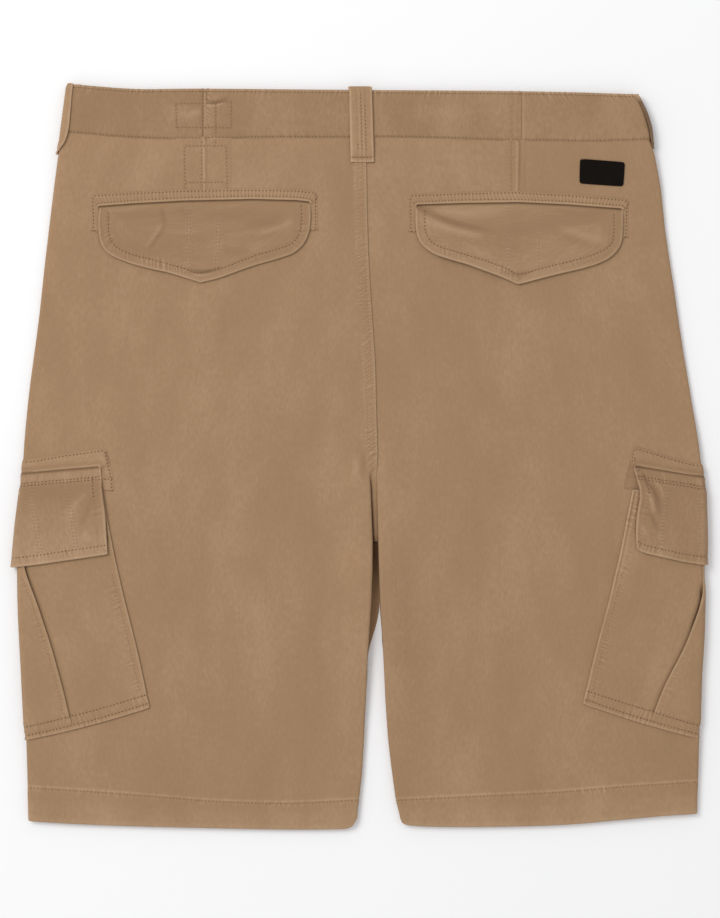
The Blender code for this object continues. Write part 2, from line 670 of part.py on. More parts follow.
def make_button():
    """A sew-through button under the left end of the waistband, near the centre front"""
    bm = bmesh.new()
    radius = BUTTON_DIAMETER / 2 * MM
    bmesh.ops.create_cone(bm, cap_ends=True, segments=32, radius1=radius, radius2=radius,
                          depth=BUTTON_THICKNESS * MM)
    mesh = bpy.data.meshes.new("button")
    bm.to_mesh(mesh)
    bm.free()
    mesh.materials.append(material("horn", HORN, 0.35))
    button = bpy.data.objects.new("button", mesh)
    PARTS.objects.link(button)
    button.parent = HOLDER
    centre_x = OUTLINES[RIGHT][0].x_in
    outline, height = section(LEFT, 0.5)
    middle_y = row_y(outline, height, width_of(outline), FRONT)
    button.location = Vector((centre_x - BUTTON_INWARD_OF_CENTRE, middle_y, BUTTON_THICKNESS / 2)) * MM
    rim = button.modifiers.new("Rim", "BEVEL")
    rim.width = BUTTON_RIM * MM
    rim.segments = 1
    rim.limit_method = "ANGLE"
    return button


# ---------------------------------------------------------------- assembly

clear_scene()
SURFACES = {}
PARTS = bpy.data.collections.new("cargo_shorts")
bpy.context.scene.collection.children.link(PARTS)
HOLDER = bpy.data.objects.new("cargo_shorts_origin", None)
PARTS.objects.link(HOLDER)

for word, half in (("left", LEFT), ("right", RIGHT)):
    make_panel("back_" + word, half, BACK)
    make_panel("front_" + word, half, FRONT)
    make_waistband_side("waistband_" + word, half)
    make_side_loop("belt_loop_" + word, half)
    make_front_loop("belt_loop_front_" + word, half)
    make_back_facing("pocket_facing_" + word, half)
    make_back_flap("pocket_flap_" + word, half)
    make_cargo_pocket("cargo_pocket_" + word, half)
    make_cargo_flap("cargo_flap_" + word, half)
    make_cargo_facing("cargo_facing_" + word, half)
make_waistband_back()
make_back_loop()
make_patch()
make_button()
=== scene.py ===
# %% [markdown]
# # Cargo shorts in washed twill, laid out flat
# The shorts lie on their front with the back up. A CAD model, packed as a frame, holds their true
# sizes as plain solids. This script keeps every solid's place and gives it the look of cloth: thin
# shells with rolled edges, creases, puckered seams and real stitches. Lengths are written in
# millimetres and are turned into metres when a mesh is made.

# %% Load the frame
import math
from collections import namedtuple

import bpy
import numpy as np
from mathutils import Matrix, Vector
from mathutils.bvhtree import BVHTree


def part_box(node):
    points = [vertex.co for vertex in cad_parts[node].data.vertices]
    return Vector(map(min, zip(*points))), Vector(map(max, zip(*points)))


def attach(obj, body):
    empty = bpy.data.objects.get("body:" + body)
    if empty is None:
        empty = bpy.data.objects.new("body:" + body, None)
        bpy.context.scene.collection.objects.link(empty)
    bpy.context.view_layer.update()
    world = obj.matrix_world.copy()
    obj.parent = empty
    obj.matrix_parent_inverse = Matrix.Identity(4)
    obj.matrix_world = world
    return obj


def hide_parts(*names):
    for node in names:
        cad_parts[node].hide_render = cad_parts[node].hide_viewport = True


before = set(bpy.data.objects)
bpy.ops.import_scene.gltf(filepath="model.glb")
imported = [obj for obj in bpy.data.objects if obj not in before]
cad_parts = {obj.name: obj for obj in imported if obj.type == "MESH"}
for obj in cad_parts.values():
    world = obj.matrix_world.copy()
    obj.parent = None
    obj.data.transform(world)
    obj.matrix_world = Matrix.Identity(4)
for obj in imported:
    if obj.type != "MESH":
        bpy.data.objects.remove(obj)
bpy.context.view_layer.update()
MM = 0.001
LEFT, RIGHT = -1, 1
BACK, FRONT = 1, -1
WORDS = {LEFT: "left", RIGHT: "right"}

# %% [markdown]
# ## Camera, floor and light
# A garment for a catalogue is laid on a white table and seen from straight above through a long
# lens, so that its outline isn't stretched. The distance is set so that one picture height covers
# 698 mm of the table. One large soft lamp stands at the upper left, and a pale sky fills the rest:
# edges that face the lamp catch light, and the cloth's shadow falls softly to the right.

# %% Camera
CAMERA_DISTANCE = 1650.0
PICTURE_HEIGHT = 698.0
AIM = (0.8, -1.9, 5.0)  # the middle of the picture, at the height of the cloth
SENSOR = 36.0

camera_data = bpy.data.cameras.new("camera")
camera_data.sensor_width = SENSOR
camera_data.lens = SENSOR * CAMERA_DISTANCE / PICTURE_HEIGHT
camera = bpy.data.objects.new("camera", camera_data)
camera.location = Vector((AIM[0], AIM[1], AIM[2] + CAMERA_DISTANCE)) * MM
bpy.context.collection.objects.link(camera)
bpy.context.scene.camera = camera
print("lens:", round(camera_data.lens, 1), "mm")


# %% Floor, lamp and sky
def plain_material(name, colour, roughness, **sockets):
    """A Principled material with plain values on its shader's own sockets"""
    finish = bpy.data.materials.new(name)
    finish.use_nodes = True
    shader = finish.node_tree.nodes["Principled BSDF"]
    shader.inputs["Base Color"].default_value = (*colour, 1.0)
    shader.inputs["Roughness"].default_value = roughness
    for socket, value in sockets.items():
        shader.inputs[socket.replace("_", " ")].default_value = value
    return finish


FLOOR_SIZE = 6.0
FLOOR_DROP = 0.0002
bpy.ops.mesh.primitive_plane_add(size=FLOOR_SIZE, location=(0, 0, -FLOOR_DROP))
floor = bpy.context.object
floor.name = "floor"
floor.data.materials.append(plain_material("white_table", (0.95, 0.948, 0.95), 0.9))

LAMP_PLACE, LAMP_SIZE, LAMP_POWER = (-1.6, 1.1, 2.4), 1.5, 44.0
SKY_COLOUR, SKY_STRENGTH = (0.985, 0.99, 1.0), 0.685
lamp_data = bpy.data.lights.new("soft_lamp", "AREA")
lamp_data.size = LAMP_SIZE
lamp_data.energy = LAMP_POWER
lamp = bpy.data.objects.new("soft_lamp", lamp_data)
lamp.location = LAMP_PLACE
lamp.rotation_euler = (-Vector(LAMP_PLACE)).to_track_quat("-Z", "Y").to_euler()
bpy.context.collection.objects.link(lamp)
sky = bpy.data.worlds.new("sky")
sky.use_nodes = True
sky.node_tree.nodes["Background"].inputs["Color"].default_value = (*SKY_COLOUR, 1.0)
sky.node_tree.nodes["Background"].inputs["Strength"].default_value = SKY_STRENGTH
bpy.context.scene.world = sky
bpy.context.scene.view_settings.view_transform = "Standard"
print("lamp at", LAMP_PLACE, "sky", SKY_STRENGTH)

# %% [markdown]
# ## Reading the solids
# Each half of the shorts is a flattened tube, open at the waist and the hem. The back panel lies on
# the front panel, and they meet in a rounded fold at the side of the leg. The shells must follow
# the solids, so the script slices the solids for their outline and drops rays on them for their
# height. Measures taken every 4 mm are then smoothed, because cloth has none of the solids' facets.

# %% Solids as points, faces and ray trees, in millimetres
SOLIDS = {}
for node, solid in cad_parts.items():
    solid.data.calc_loop_triangles()
    corners = np.array([v.co[:] for v in solid.data.vertices]) / MM
    triangles = np.array([t.vertices[:] for t in solid.data.loop_triangles])
    SOLIDS[node] = corners, triangles, BVHTree.FromPolygons(corners.tolist(), triangles.tolist())


def slice_ends(node, y):
    """Lowest and highest X where the plane at y cuts a solid"""
    corners, triangles, _ = SOLIDS[node]
    a = corners[triangles]
    b = corners[np.roll(triangles, -1, axis=1)]
    cut = (a[..., 1] - y) * (b[..., 1] - y) < 0
    a, b = a[cut], b[cut]
    x = a[:, 0] + (b[:, 0] - a[:, 0]) * (y - a[:, 1]) / (b[:, 1] - a[:, 1])
    return x.min(), x.max()


def drop(node, x, y, face):
    """Height of a solid's outer face at x, y, seen from above (BACK) or from below (FRONT).
    Past the solid's top edge it takes the nearest place lower down"""
    hit = None
    while hit is None:
        hit = SOLIDS[node][2].ray_cast(Vector((x, y, face * 100.0)), Vector((0, 0, -face)))[0]
        y -= 2.0
    return hit.z


print("solids with a ray tree:", len(SOLIDS))

# %% Helpers that smooth, blend and read numbers
def smooth(values, reach, axis=0):
    """Rounds a row of measures with a bell curve; its two ends run straight on"""
    offsets = np.arange(-3 * reach, 3 * reach + 1)
    weights = np.exp(-0.5 * (offsets / reach) ** 2)
    pad = [(0, 0)] * values.ndim
    pad[axis] = (3 * reach, 3 * reach)
    padded = np.pad(values, pad, mode="reflect", reflect_type="odd")
    return np.apply_along_axis(np.convolve, axis, padded, weights / weights.sum(), "valid")


def ramp(low, high, value):
    """0 before low, 1 after high and a soft slope between"""
    t = np.clip((value - low) / (high - low), 0.0, 1.0)
    return t * t * (3 - 2 * t)


def bell(off, width):
    """1 where off is 0, and a soft slope to nothing on both sides"""
    return np.exp(-(off / width) ** 2)


def look_up(table, at):
    """Reads a table of pairs between its entries"""
    return np.interp(at, *zip(*table))


def grid_value(grid, row, column):
    """Reads a grid of measures between its cells"""
    row = np.clip(row, 0, grid.shape[0] - 1.001)
    column = np.clip(column, 0, grid.shape[1] - 1.001)
    r, c = row.astype(int), column.astype(int)
    down, right = row - r, column - c
    upper = grid[r, c] * (1 - right) + grid[r, c + 1] * right
    lower = grid[r + 1, c] * (1 - right) + grid[r + 1, c + 1] * right
    return upper * (1 - down) + lower * down


# %% The two halves
SECTION_STEP = 4.0
SECTION_Y = np.arange(-268.0, 233.0, SECTION_STEP)
BAND_Y = np.arange(249.0, 271.0, SECTION_STEP)  # sections through the waistband
BAND_PROUD = 0.5
SHARES = np.linspace(0.0, 1.0, 65)
FOLD_EASE = 8.0  # heights are read from this far inside a fold
FORK_Y = (-4.0, -26.0)  # the back's inner folds start and are fully turned down here
FRONT_FORK_Y = {LEFT: (-150.0, -185.0), RIGHT: (-125.0, -155.0)}  # and the fronts'
FOLD_RADIUS = 1.6  # an inner fold is pressed: round at its edge, then straight down
# The cloth's side edge lies this far outside the solid's: Y and millimetres
EDGE_EASE = {
    LEFT: ((-60, 0), (57, 0.6), (110, 0.2), (150, 0.45), (200, 0.3), (230, 0), (240, -1.1), (275, -1.4)),
    RIGHT: ((-262, 0.6), (-240, 1.5), (-215, 1.6), (-190, 1.2), (-165, 0.6), (-135, 1), (-107, 0.8),
        (-89, 0.2), (-71, 0.4), (-44, 0.9), (-25, 1.7), (-16, 2), (11, 1.8), (38, 1.1), (75, 1.1),
        (130, 1.6), (148, 1.3), (175, 0.5), (193, 0.9), (205, 1.5), (230, 1.4), (240, 0.5), (250, 1.2),
        (262, 0.8), (275, -1)),
}
# And the inner folds near the hems: Y and millimetres towards +X
INNER_EASE = {
    LEFT: ((-284, -1.2), (-275, 0), (-262, 0.9), (-240, 1.5), (-220, 1), (-200, 0.3), (-180, 0)),
    RIGHT: ((-282, 6.6), (-275.8, 4.1), (-268, 2.3), (-260, 1.3), (-235, 0.5), (-200, 0)),
}
# Inner fold of the left leg beside the fork: Y and X
LEFT_FORK = ((-85.0, 10.3), (-64.2, 10.5), (-24.0, 9.0), (-16.3, 8.4))
print("sections:", len(SECTION_Y), "across the panels and", len(BAND_Y), "across the waistband")

# %% Sections and side folds of one half
def extended(known_y, known_x, y):
    """X at y of a measured line whose two ends run straight on"""
    x = np.interp(y, known_y, known_x)
    for end, near, beyond in ((0, 4, y < known_y[0]), (-1, -4, y > known_y[-1])):
        slope = (known_x[near] - known_x[end]) / (known_y[near] - known_y[end])
        x = np.where(beyond, known_x[end] + (y - known_y[end]) * slope, x)
    return x


class Half:
    """One flattened leg and its half of the seat"""

    def __init__(self, side):
        self.side = side
        word = WORDS[side]
        back, front = "back_" + word, "front_" + word
        outer_end = 0 if side == LEFT else 1
        outer = [slice_ends(back, y)[outer_end] for y in SECTION_Y]
        band = [slice_ends("waistband_" + word, y)[outer_end] - side * BAND_PROUD for y in BAND_Y]
        self.outline_y = np.arange(-300.0, 300.0, SECTION_STEP)
        measured = extended(np.concatenate([SECTION_Y, BAND_Y]), np.array(outer + band), self.outline_y)
        self.outline_x = smooth(measured, 3) + side * look_up(EDGE_EASE[side], self.outline_y)
        self.inner_x = self.read_inner(back)
        places = FOLD_EASE + SHARES * (self.width(SECTION_Y) - 2 * FOLD_EASE)[:, None]
        self.heights = {}
        for face, node in ((BACK, back), (FRONT, front)):
            rows = [[drop(node, self.x_out(y) - side * inward, y, face) for inward in row]
                    for y, row in zip(SECTION_Y, places)]
            self.heights[face] = smooth(smooth(np.array(rows), 3), 2, axis=1)

    def read_inner(self, back):
        """Inner end of each section: the seat seam, then the inner fold of the leg"""
        ends = []
        for y in SECTION_Y:
            if self.side == RIGHT:
                ends.append(slice_ends(back, y)[0])
            elif y > FORK_Y[0] - 6:
                ends.append(slice_ends("back_right", y)[0] - 1.0)
            elif y > LEFT_FORK[0][0]:
                ends.append(look_up(LEFT_FORK, y))
            else:
                ends.append(slice_ends(back, y)[1])
        return np.array(ends)

    def x_out(self, y):
        return np.interp(y, self.outline_y, self.outline_x)

    def x_in(self, y):
        return np.interp(y, SECTION_Y, self.inner_x) + look_up(INNER_EASE[self.side], y)

    def width(self, y):
        return abs(self.x_in(y) - self.x_out(y))

    def level(self, face, y, inward):
        """Height of the outer face of the cloth, folds left out"""
        share = (inward - FOLD_EASE) / (self.width(y) - 2 * FOLD_EASE)
        row = (y - SECTION_Y[0]) / SECTION_STEP
        return grid_value(self.heights[face], row, np.clip(share, 0, 1) * (len(SHARES) - 1))

    def side_fold(self, y):
        """Radius and middle height of the fold at the side"""
        zero = np.zeros_like(y)
        top, low = self.level(BACK, y, zero), self.level(FRONT, y, zero)
        return (top - low) / 2, (top + low) / 2

    def way_round(self, y):
        """How much longer the way round the side fold is than the fold is wide"""
        return self.side_fold(y)[0] * (math.pi / 2 - 1)

    def inner_fold(self, face, y):
        """Radius of a face's inner fold and how far it then goes straight on"""
        ends = self.width(y)
        depth = (self.level(BACK, y, ends) - self.level(FRONT, y, ends)) / 2
        radius = np.minimum(depth, FOLD_RADIUS)
        open_front = 1 - ramp(*FRONT_FORK_Y[self.side], y)
        return radius, depth - radius + (face == BACK) * open_front * (depth - 0.3)


HALVES = {side: Half(side) for side in (LEFT, RIGHT)}
for side, half in HALVES.items():
    print(WORDS[side], "side fold radius", np.round(half.side_fold(np.array([200.0, 0.0, -200.0]))[0], 2))


# %% [markdown]
# ## Places on the cloth
# A tailor measures round the body, so a place on the shorts is given by `s`, the distance round
# from the side seam, and `y`, its height on the table. `place` turns that into a point: over the
# side fold, along the flat cloth, and at the leg's inner edge down round the inner fold. Its last
# argument lifts the point off the cloth, for whatever is sewn on top.

# %% From a place on the cloth to a point
def turned_down(half, face, y):
    """How far the inner end is turned down: 0 on the seat, a quarter turn on the leg"""
    start, end = FORK_Y if face == BACK else FRONT_FORK_Y[half.side]
    return ramp(start, end, y) * math.pi / 2


def section_length(half, face, y):
    """Length round a section from the side seam to its inner end"""
    radius, (inner_radius, straight) = half.side_fold(y)[0], half.inner_fold(face, y)
    turn = turned_down(half, face, y)
    flat = half.width(y) - inner_radius * np.sin(turn) - radius
    return radius * math.pi / 2 + flat + inner_radius * turn + straight * np.sin(turn) ** 2


def place(half, face, s, y, out=0.0):
    """The point at a distance s round from the side seam; arrays go in and come out"""
    s, y, out = np.broadcast_arrays(*(np.asarray(v, float) for v in (s, y, out)))
    radius, middle = half.side_fold(y)
    inner_radius, turn, width = half.inner_fold(face, y)[0], turned_down(half, face, y), half.width(y)
    arc = radius * math.pi / 2
    flat_end = width - inner_radius * np.sin(turn)
    inward = radius + s - arc
    past = np.clip((inward - flat_end) / np.maximum(inner_radius, 0.1), 0, math.pi / 2)
    beyond = np.clip(inward - flat_end - inner_radius * math.pi / 2, 0, None)
    on_side, on_inner = s < arc, inward > flat_end
    lean = np.where(on_side, math.pi / 2 - np.clip(s, -1, None) / radius, 0.0)
    flat_in = np.where(on_inner, flat_end + (inner_radius + out) * np.sin(past), inward)
    across = np.where(on_side, radius - (radius + out) * np.sin(lean), flat_in)
    top = half.level(face, y, np.clip(inward, 0, None)) + face * out
    down = (inner_radius + out) * np.cos(past) - inner_radius - beyond
    inner_z = half.level(face, y, flat_end) + face * down
    z = np.where(on_inner, inner_z, top)
    z = np.where(on_side, middle + face * (radius + out) * np.cos(lean), z)
    return np.stack([half.x_out(y) - half.side * across, y, z], axis=-1)


def girth(half, x, y):
    """The distance s of a flat place at x"""
    return abs(np.asarray(x, float) - half.x_out(y)) + half.way_round(np.asarray(y, float))


# %% [markdown]
# ## Curves and creases
# Seams, edges and creases are given as short lists of points, each rounded into a smooth
# curve. A crease is a soft trough or ridge along such a curve that fades out at both ends.
# Puckers are the small ripples that stitches draw into washed cloth: they stand across the seam
# and are never quite evenly spaced.

# %% Curves through points
def rounded(points, step=2):
    """A smooth curve through given points, as a dense row of points"""
    points = np.asarray(points, float)
    padded = np.vstack([2 * points[0] - points[1], points, 2 * points[-1] - points[-2]])
    dense = []
    for a, b, c, d in zip(padded, padded[1:], padded[2:], padded[3:]):
        count = max(2, int(np.linalg.norm(c - b) / step))
        t = np.linspace(0, 1, count, endpoint=False)[:, None]
        dense.append(0.5 * (2 * b + (c - a) * t + (2 * a - 5 * b + 4 * c - d) * t ** 2
                            + (3 * b - a - 3 * c + d) * t ** 3))
    return np.vstack(dense + [points[-1:]])


def lengths(line):
    """Distance along a line of points"""
    steps = np.linalg.norm(np.diff(line, axis=0), axis=1)
    return np.concatenate([[0.0], np.cumsum(steps)])


def read_along(line, along, at):
    """Points of a line at distances at, where along is each of its own points' distance"""
    return np.stack([np.interp(at, along, values) for values in line.T], axis=-1)


def spread(line, count):
    """The line again, as count evenly spaced points"""
    along = lengths(line)
    return read_along(line, along, np.linspace(0, along[-1], count))


def beside(line, x, y):
    """For places x, y: signed distance from a line of points and how far along it they are"""
    nearest = np.full(np.shape(x), 1e9)
    off = np.zeros(np.shape(x))
    at = np.zeros(np.shape(x))
    along = lengths(line)
    for (ax, ay), (bx, by), start in zip(line, line[1:], along):
        dx, dy = bx - ax, by - ay
        size = math.hypot(dx, dy) or 1e-9
        t = np.clip(((x - ax) * dx + (y - ay) * dy) / size ** 2, 0, 1)
        gap = np.hypot(x - ax - t * dx, y - ay - t * dy)
        closer = gap < nearest
        nearest = np.where(closer, gap, nearest)
        off = np.where(closer, np.sign(dx * (y - ay) - dy * (x - ax)) * gap, off)
        at = np.where(closer, start + t * size, at)
    return off, at


# %% Creases and puckers
def creased(creases, x, y):
    """Height that creases add at x, y. A crease is, in millimetres, the points of its line, half
    its width and its height, minus for a trough"""
    total = np.zeros(np.shape(x))
    for points, width, height in creases:
        line = rounded(points, 8)
        off, at = beside(line, x, y)
        share = at / lengths(line)[-1]
        total += height * bell(off, width) * np.sin(math.pi * share) ** 0.7
    return total


def ripple(at, pitch, seed):
    """An uneven wave, as sewing leaves it"""
    phase = at / pitch + 0.55 * np.sin(at / (pitch * 2.3) + seed)
    phase = phase + 0.3 * np.sin(at / (pitch * 0.83) + 3 * seed)
    swell = 0.55 + 0.3 * np.sin(at / (pitch * 3.1) + 2 * seed) + 0.15 * np.sin(at / (pitch * 7.7) + seed)
    return np.sin(2 * math.pi * phase) * swell


# %% [markdown]
# ## Making cloth
# A piece of cloth here is a grid of points. Each grid point also carries its tone: above 0 where a
# ridge is rubbed pale, below 0 in a dent and where shade is painted on. It also carries its place on
# the flat cloth in millimetres, which the weave follows. A cut edge is never sharp on sewn clothes: it
# is turned in, so `turned` rolls the edge of a grid round and back under the piece.

# %% Grids of cloth
def cloth_grid(points, tone=0.0):
    """Stacks points with their tone, which is wear and painted shade, and their place on the flat cloth"""
    across = np.linalg.norm(np.diff(points, axis=1), axis=2)
    down = np.linalg.norm(np.diff(points, axis=0), axis=2)
    u = np.pad(np.cumsum(across, axis=1), ((0, 0), (1, 0)))
    v = np.pad(np.cumsum(down, axis=0), ((1, 0), (0, 0)))
    tones = np.broadcast_to(np.asarray(tone, float), u.shape)
    return np.concatenate([points, np.stack([tones, u, -v], axis=-1)], axis=-1)


def unit(vectors):
    return vectors / np.maximum(np.linalg.norm(vectors, axis=-1, keepdims=True), 1e-9)


def normals(points):
    """Which way each point of a grid faces"""
    down, across = np.gradient(points, axis=0), np.gradient(points, axis=1)
    return unit(np.cross(down, across))

# %% Rows of stitches, kept for the sewing at the end
SEWN_ROWS = {}


def keep_row(name, points, facing, field, value, axis=0, along=None):
    """Keeps the row of stitches that runs where a measure over a grid passes a value. Its stitches
    are counted by along, or else by the row's own length"""
    spots, outward = np.moveaxis(points, axis, 0), np.moveaxis(normals(points) * facing, axis, 0)
    gap = np.moveaxis(field - value, axis, 0)
    crossing = gap[:-1] * gap[1:] <= 0
    lines = np.nonzero(crossing.any(axis=0))[0]
    first = crossing.argmax(axis=0)[lines]
    share = (gap[first, lines] / (gap[first, lines] - gap[first + 1, lines] + 1e-9))[:, None]
    here = spots[first, lines] * (1 - share) + spots[first + 1, lines] * share
    counted = lengths(here) if along is None else along[lines]
    SEWN_ROWS.setdefault(name, []).append((here, outward[first, lines], counted))

# %% Rolled edges
ROLL_STEPS = (20, 50, 85, 120, 150, 180)


def turned(grid, edge, thickness, reach, facing, tone=0.0, corners=False, blunt=(False, False)):
    """Rolls one edge of a grid round and back beneath: edge is first_row, last_row, first_col or
    last_col, and facing is 1 or -1, whichever makes the grid's normals point outward. The tone given is
    painted shade: below 0 it darkens the roll as it turns under. With corners, places that an earlier
    roll has turned over are only tucked in. The roll is thinner at its two ends, but not at a blunt
    one, where another piece goes on"""
    up, work = normals(grid[..., :3]) * facing, grid
    if "col" in edge:
        up, work = up.swapaxes(0, 1), work.swapaxes(0, 1)
    way = -1 if "first" in edge else 1
    up, work = up[::way][-1], work[::way]
    last, before = work[-1], work[-2]
    away = unit(last[:, :3] - before[:, :3])
    from_start = lengths(last[:, :3]) + 5.0 * blunt[0]
    from_end = np.minimum(from_start, lengths(last[::-1, :3])[::-1] + 5.0 * blunt[1])[:, None]
    if corners:
        middle = up[len(up) // 2]
        over = (up @ middle < 0.6)[:, None]
        up = np.where(over, middle, up)
        from_end = np.where(over, 0.0, from_end)
    radius = thickness / 2 * (0.25 + 0.75 * ramp(0, 1.6, from_end))
    rows = []
    for angle in np.radians(ROLL_STEPS):
        row = last.copy()
        row[:, :3] += away * radius * math.sin(angle) - up * radius * (1 - math.cos(angle))
        # Painted shade: the roll darkens as it turns under
        row[:, 3] += tone * math.sin(angle)
        row[:, 4:] += (last - before)[:, 4:] * radius * angle / np.maximum(
            np.linalg.norm(last - before, axis=1)[:, None], 0.2)
        rows.append(row)
    under = rows[-1].copy()
    # A deep tuck runs straight and level
    inward = away if reach < 5 else unit(np.median(away, axis=0) * (1, 1, 0))
    under[:, :3] -= inward * reach
    under[:, 4:] = 2 * rows[-1][:, 4:] - last[:, 4:] + (last - before)[:, 4:]
    work = np.concatenate([work, np.array(rows + [under])])[::way]
    return work.swapaxes(0, 1) if "col" in edge else work

# %% From a grid to a mesh
def added(name, mesh, finish):
    """Puts a mesh into the scene as a piece of the shorts, in its finish"""
    mesh.materials.append(finish)
    mesh.shade_smooth()
    piece = bpy.data.objects.new(name, mesh)
    bpy.context.collection.objects.link(piece)
    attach(piece, "root")
    print(name, sum(len(face.vertices) - 2 for face in mesh.polygons), "triangles")
    return piece


CLOTH_PIECES = {}
MOST_WORN = 0.42


def cloth(name, grid, finish, facing, loop=False):
    """A grid becomes a smooth mesh whose faces look outward. The weave starts at its own place on
    each piece; loop joins the first row to the last"""
    if loop:
        grid = grid[:-1]
    rows, columns = grid.shape[:2]
    index = np.arange(rows * columns).reshape(rows, columns)
    if loop:
        index = np.vstack([index, index[:1]])
    quads = np.stack([index[:-1, :-1], index[1:, :-1], index[1:, 1:], index[:-1, 1:]], axis=-1)
    corner_rows, corner_columns = np.indices(index.shape)
    spots = np.stack([corner_columns / (columns - 1), corner_rows / (index.shape[0] - 1)], axis=-1)
    uv = np.stack([spots[:-1, :-1], spots[1:, :-1], spots[1:, 1:], spots[:-1, 1:]], axis=2)
    quads, uv = quads.reshape(-1, 4), uv.reshape(-1, 4, 2)
    if facing < 0:
        quads, uv = quads[:, ::-1], uv[:, ::-1]
    mesh = bpy.data.meshes.new(name)
    points = grid[..., :3].reshape(-1, 3)
    points[:, 2] = np.maximum(points[:, 2], 0.0)
    mesh.from_pydata((points * MM).tolist(), [], quads.tolist())
    mesh.uv_layers.new(name="OFBake").data.foreach_set("uv", uv.ravel())
    # The clipped tone holds wear and painted shade together
    worn = np.clip(grid[..., 3], -1.0, MOST_WORN).ravel()
    mesh.attributes.new("tone", "FLOAT", "POINT").data.foreach_set("value", worn)
    start = 137.0 * len(CLOTH_PIECES)
    flat = np.stack([grid[..., 4] + start, grid[..., 5] + 0.7 * start, 0 * grid[..., 4]], axis=-1)
    mesh.attributes.new("cloth", "FLOAT_VECTOR", "POINT").data.foreach_set("vector", flat.ravel())
    CLOTH_PIECES[name] = added(name, mesh, finish)
    return CLOTH_PIECES[name]


# %% [markdown]
# ## Washed twill
# Cotton twill has fine diagonal ribs. Dyed as a finished garment and then washed, it keeps a cloudy
# colour: rubbed pale on ridges and edges, darker in dents and beside stitches. The material reads
# the grid's tone for that, and the tone also carries shade painted into the colour: under lips and
# rolled edges, in the troughs of the flaps' creases, in the fork and on the right side loop. Two
# sizes of noise make the clouds and the mottled yarn. Plain colour would look like plastic, and a
# picture of cloth can't be used, so all of it is computed.

# %% The twill material
PALE, DARK = (0.800, 0.560, 0.370), (0.075, 0.036, 0.013)
TWILL_PITCH, RIB_DEPTH, RIB_CONTRAST = 0.62, 0.06, 0.03  # the pitch is from rib to rib
CLOUD_CONTRAST, MOTTLE_CONTRAST = 0.42, 0.22
CLOUD_SIZE, MOTTLE_SIZE = 48.0, 2.1
WARP_STRETCH = (1.0, 0.45, 1.0)  # unevenness runs along the upright threads


class Nodes:
    """Short ways to add and join shader nodes"""

    def __init__(self, finish):
        self.tree = finish.node_tree
        self.shader = self.tree.nodes["Principled BSDF"]

    def add(self, kind, inputs=(), **settings):
        made = self.tree.nodes.new(kind)
        for key, value in settings.items():
            setattr(made, key, value)
        for key, value in dict(inputs).items():
            if isinstance(value, bpy.types.NodeSocket):
                self.tree.links.new(value, made.inputs[key])
            else:
                made.inputs[key].default_value = value
        return made

    def maths(self, operation, *values):
        return self.add("ShaderNodeMath", dict(enumerate(values)), operation=operation).outputs[0]

    def centred(self, pattern, amount):
        """A pattern from 0 to 1 becomes one that is as often above 0 as below it"""
        return self.maths("MULTIPLY_ADD", pattern, amount, -amount / 2)

    def object_place(self):
        return self.add("ShaderNodeTexCoord").outputs["Object"]

    def noise(self, place, size, detail=2.0, rough=0.5, **inputs):
        return self.add("ShaderNodeTexNoise", {"Vector": place, "Scale": 1 / size, "Detail": detail,
                                               "Roughness": rough, **inputs}).outputs["Fac"]

    def mixed(self, factor, a, b):
        """Colour a where factor is 0 and b where it is 1; a may also be another node's colour"""
        a = a if isinstance(a, bpy.types.NodeSocket) else (*a, 1)
        return self.add("ShaderNodeMix", {"Factor": factor, 6: a, 7: (*b, 1)}, data_type="RGBA",
                        clamp_factor=True).outputs[2]

    def bump(self, height, strength, distance):
        made = self.add("ShaderNodeBump", {"Height": height, "Strength": strength, "Distance": distance})
        self.link(made.outputs["Normal"], "Normal")

    def link(self, output, socket):
        self.tree.links.new(output, self.shader.inputs[socket])

# %% Twill made of those nodes
def twill(name, colour):
    """Washed twill of one colour"""
    finish = plain_material(name, colour, 0.88, Sheen_Weight=0.12, Sheen_Roughness=0.5,
                            Specular_IOR_Level=0.25)
    n = Nodes(finish)
    place_on_cloth = n.add("ShaderNodeAttribute", attribute_name="cloth").outputs["Vector"]
    tone = n.add("ShaderNodeAttribute", attribute_name="tone").outputs["Fac"]
    along_warp = n.add("ShaderNodeVectorMath", {0: place_on_cloth, 1: WARP_STRETCH},
                       operation="MULTIPLY").outputs[0]
    clouds = n.noise(along_warp, CLOUD_SIZE, 5.0, 0.66)
    mottling = n.noise(along_warp, MOTTLE_SIZE, 3.0)
    ribs = n.add("ShaderNodeTexWave", {"Vector": place_on_cloth, "Scale": 0.314 / TWILL_PITCH,
                                       "Distortion": 0.6, "Detail": 1.0, "Detail Scale": 2.0},
                 bands_direction="DIAGONAL").outputs["Fac"]
    uneven = n.maths("ADD", n.centred(clouds, CLOUD_CONTRAST), n.centred(mottling, MOTTLE_CONTRAST))
    # The tone brings wear and painted shade into the colour
    wear_and_shade = n.maths("ADD", uneven, n.maths("ADD", n.centred(ribs, RIB_CONTRAST), tone))
    paler = n.mixed(wear_and_shade, colour, PALE)
    n.link(n.mixed(n.maths("MULTIPLY", wear_and_shade, -1.0), paler, DARK), "Base Color")
    n.bump(n.maths("ADD", n.maths("MULTIPLY", ribs, 0.7), mottling), 0.35, RIB_DEPTH * MM)
    return finish


BODY_TWILL = twill("body_twill", (0.345, 0.210, 0.113))
print("twill ribs every", TWILL_PITCH, "mm")

# %% [markdown]
# ## Front and back panels
# The four panels are the shorts themselves. Each is one grid from the waist seam to the hem. Its
# columns crowd at the side fold and at the inner end, where the cloth turns, and its rows crowd at
# the hem's stitching. The hem is the panel's own cloth turned up inside, so it lies a little
# thicker below its stitched line.

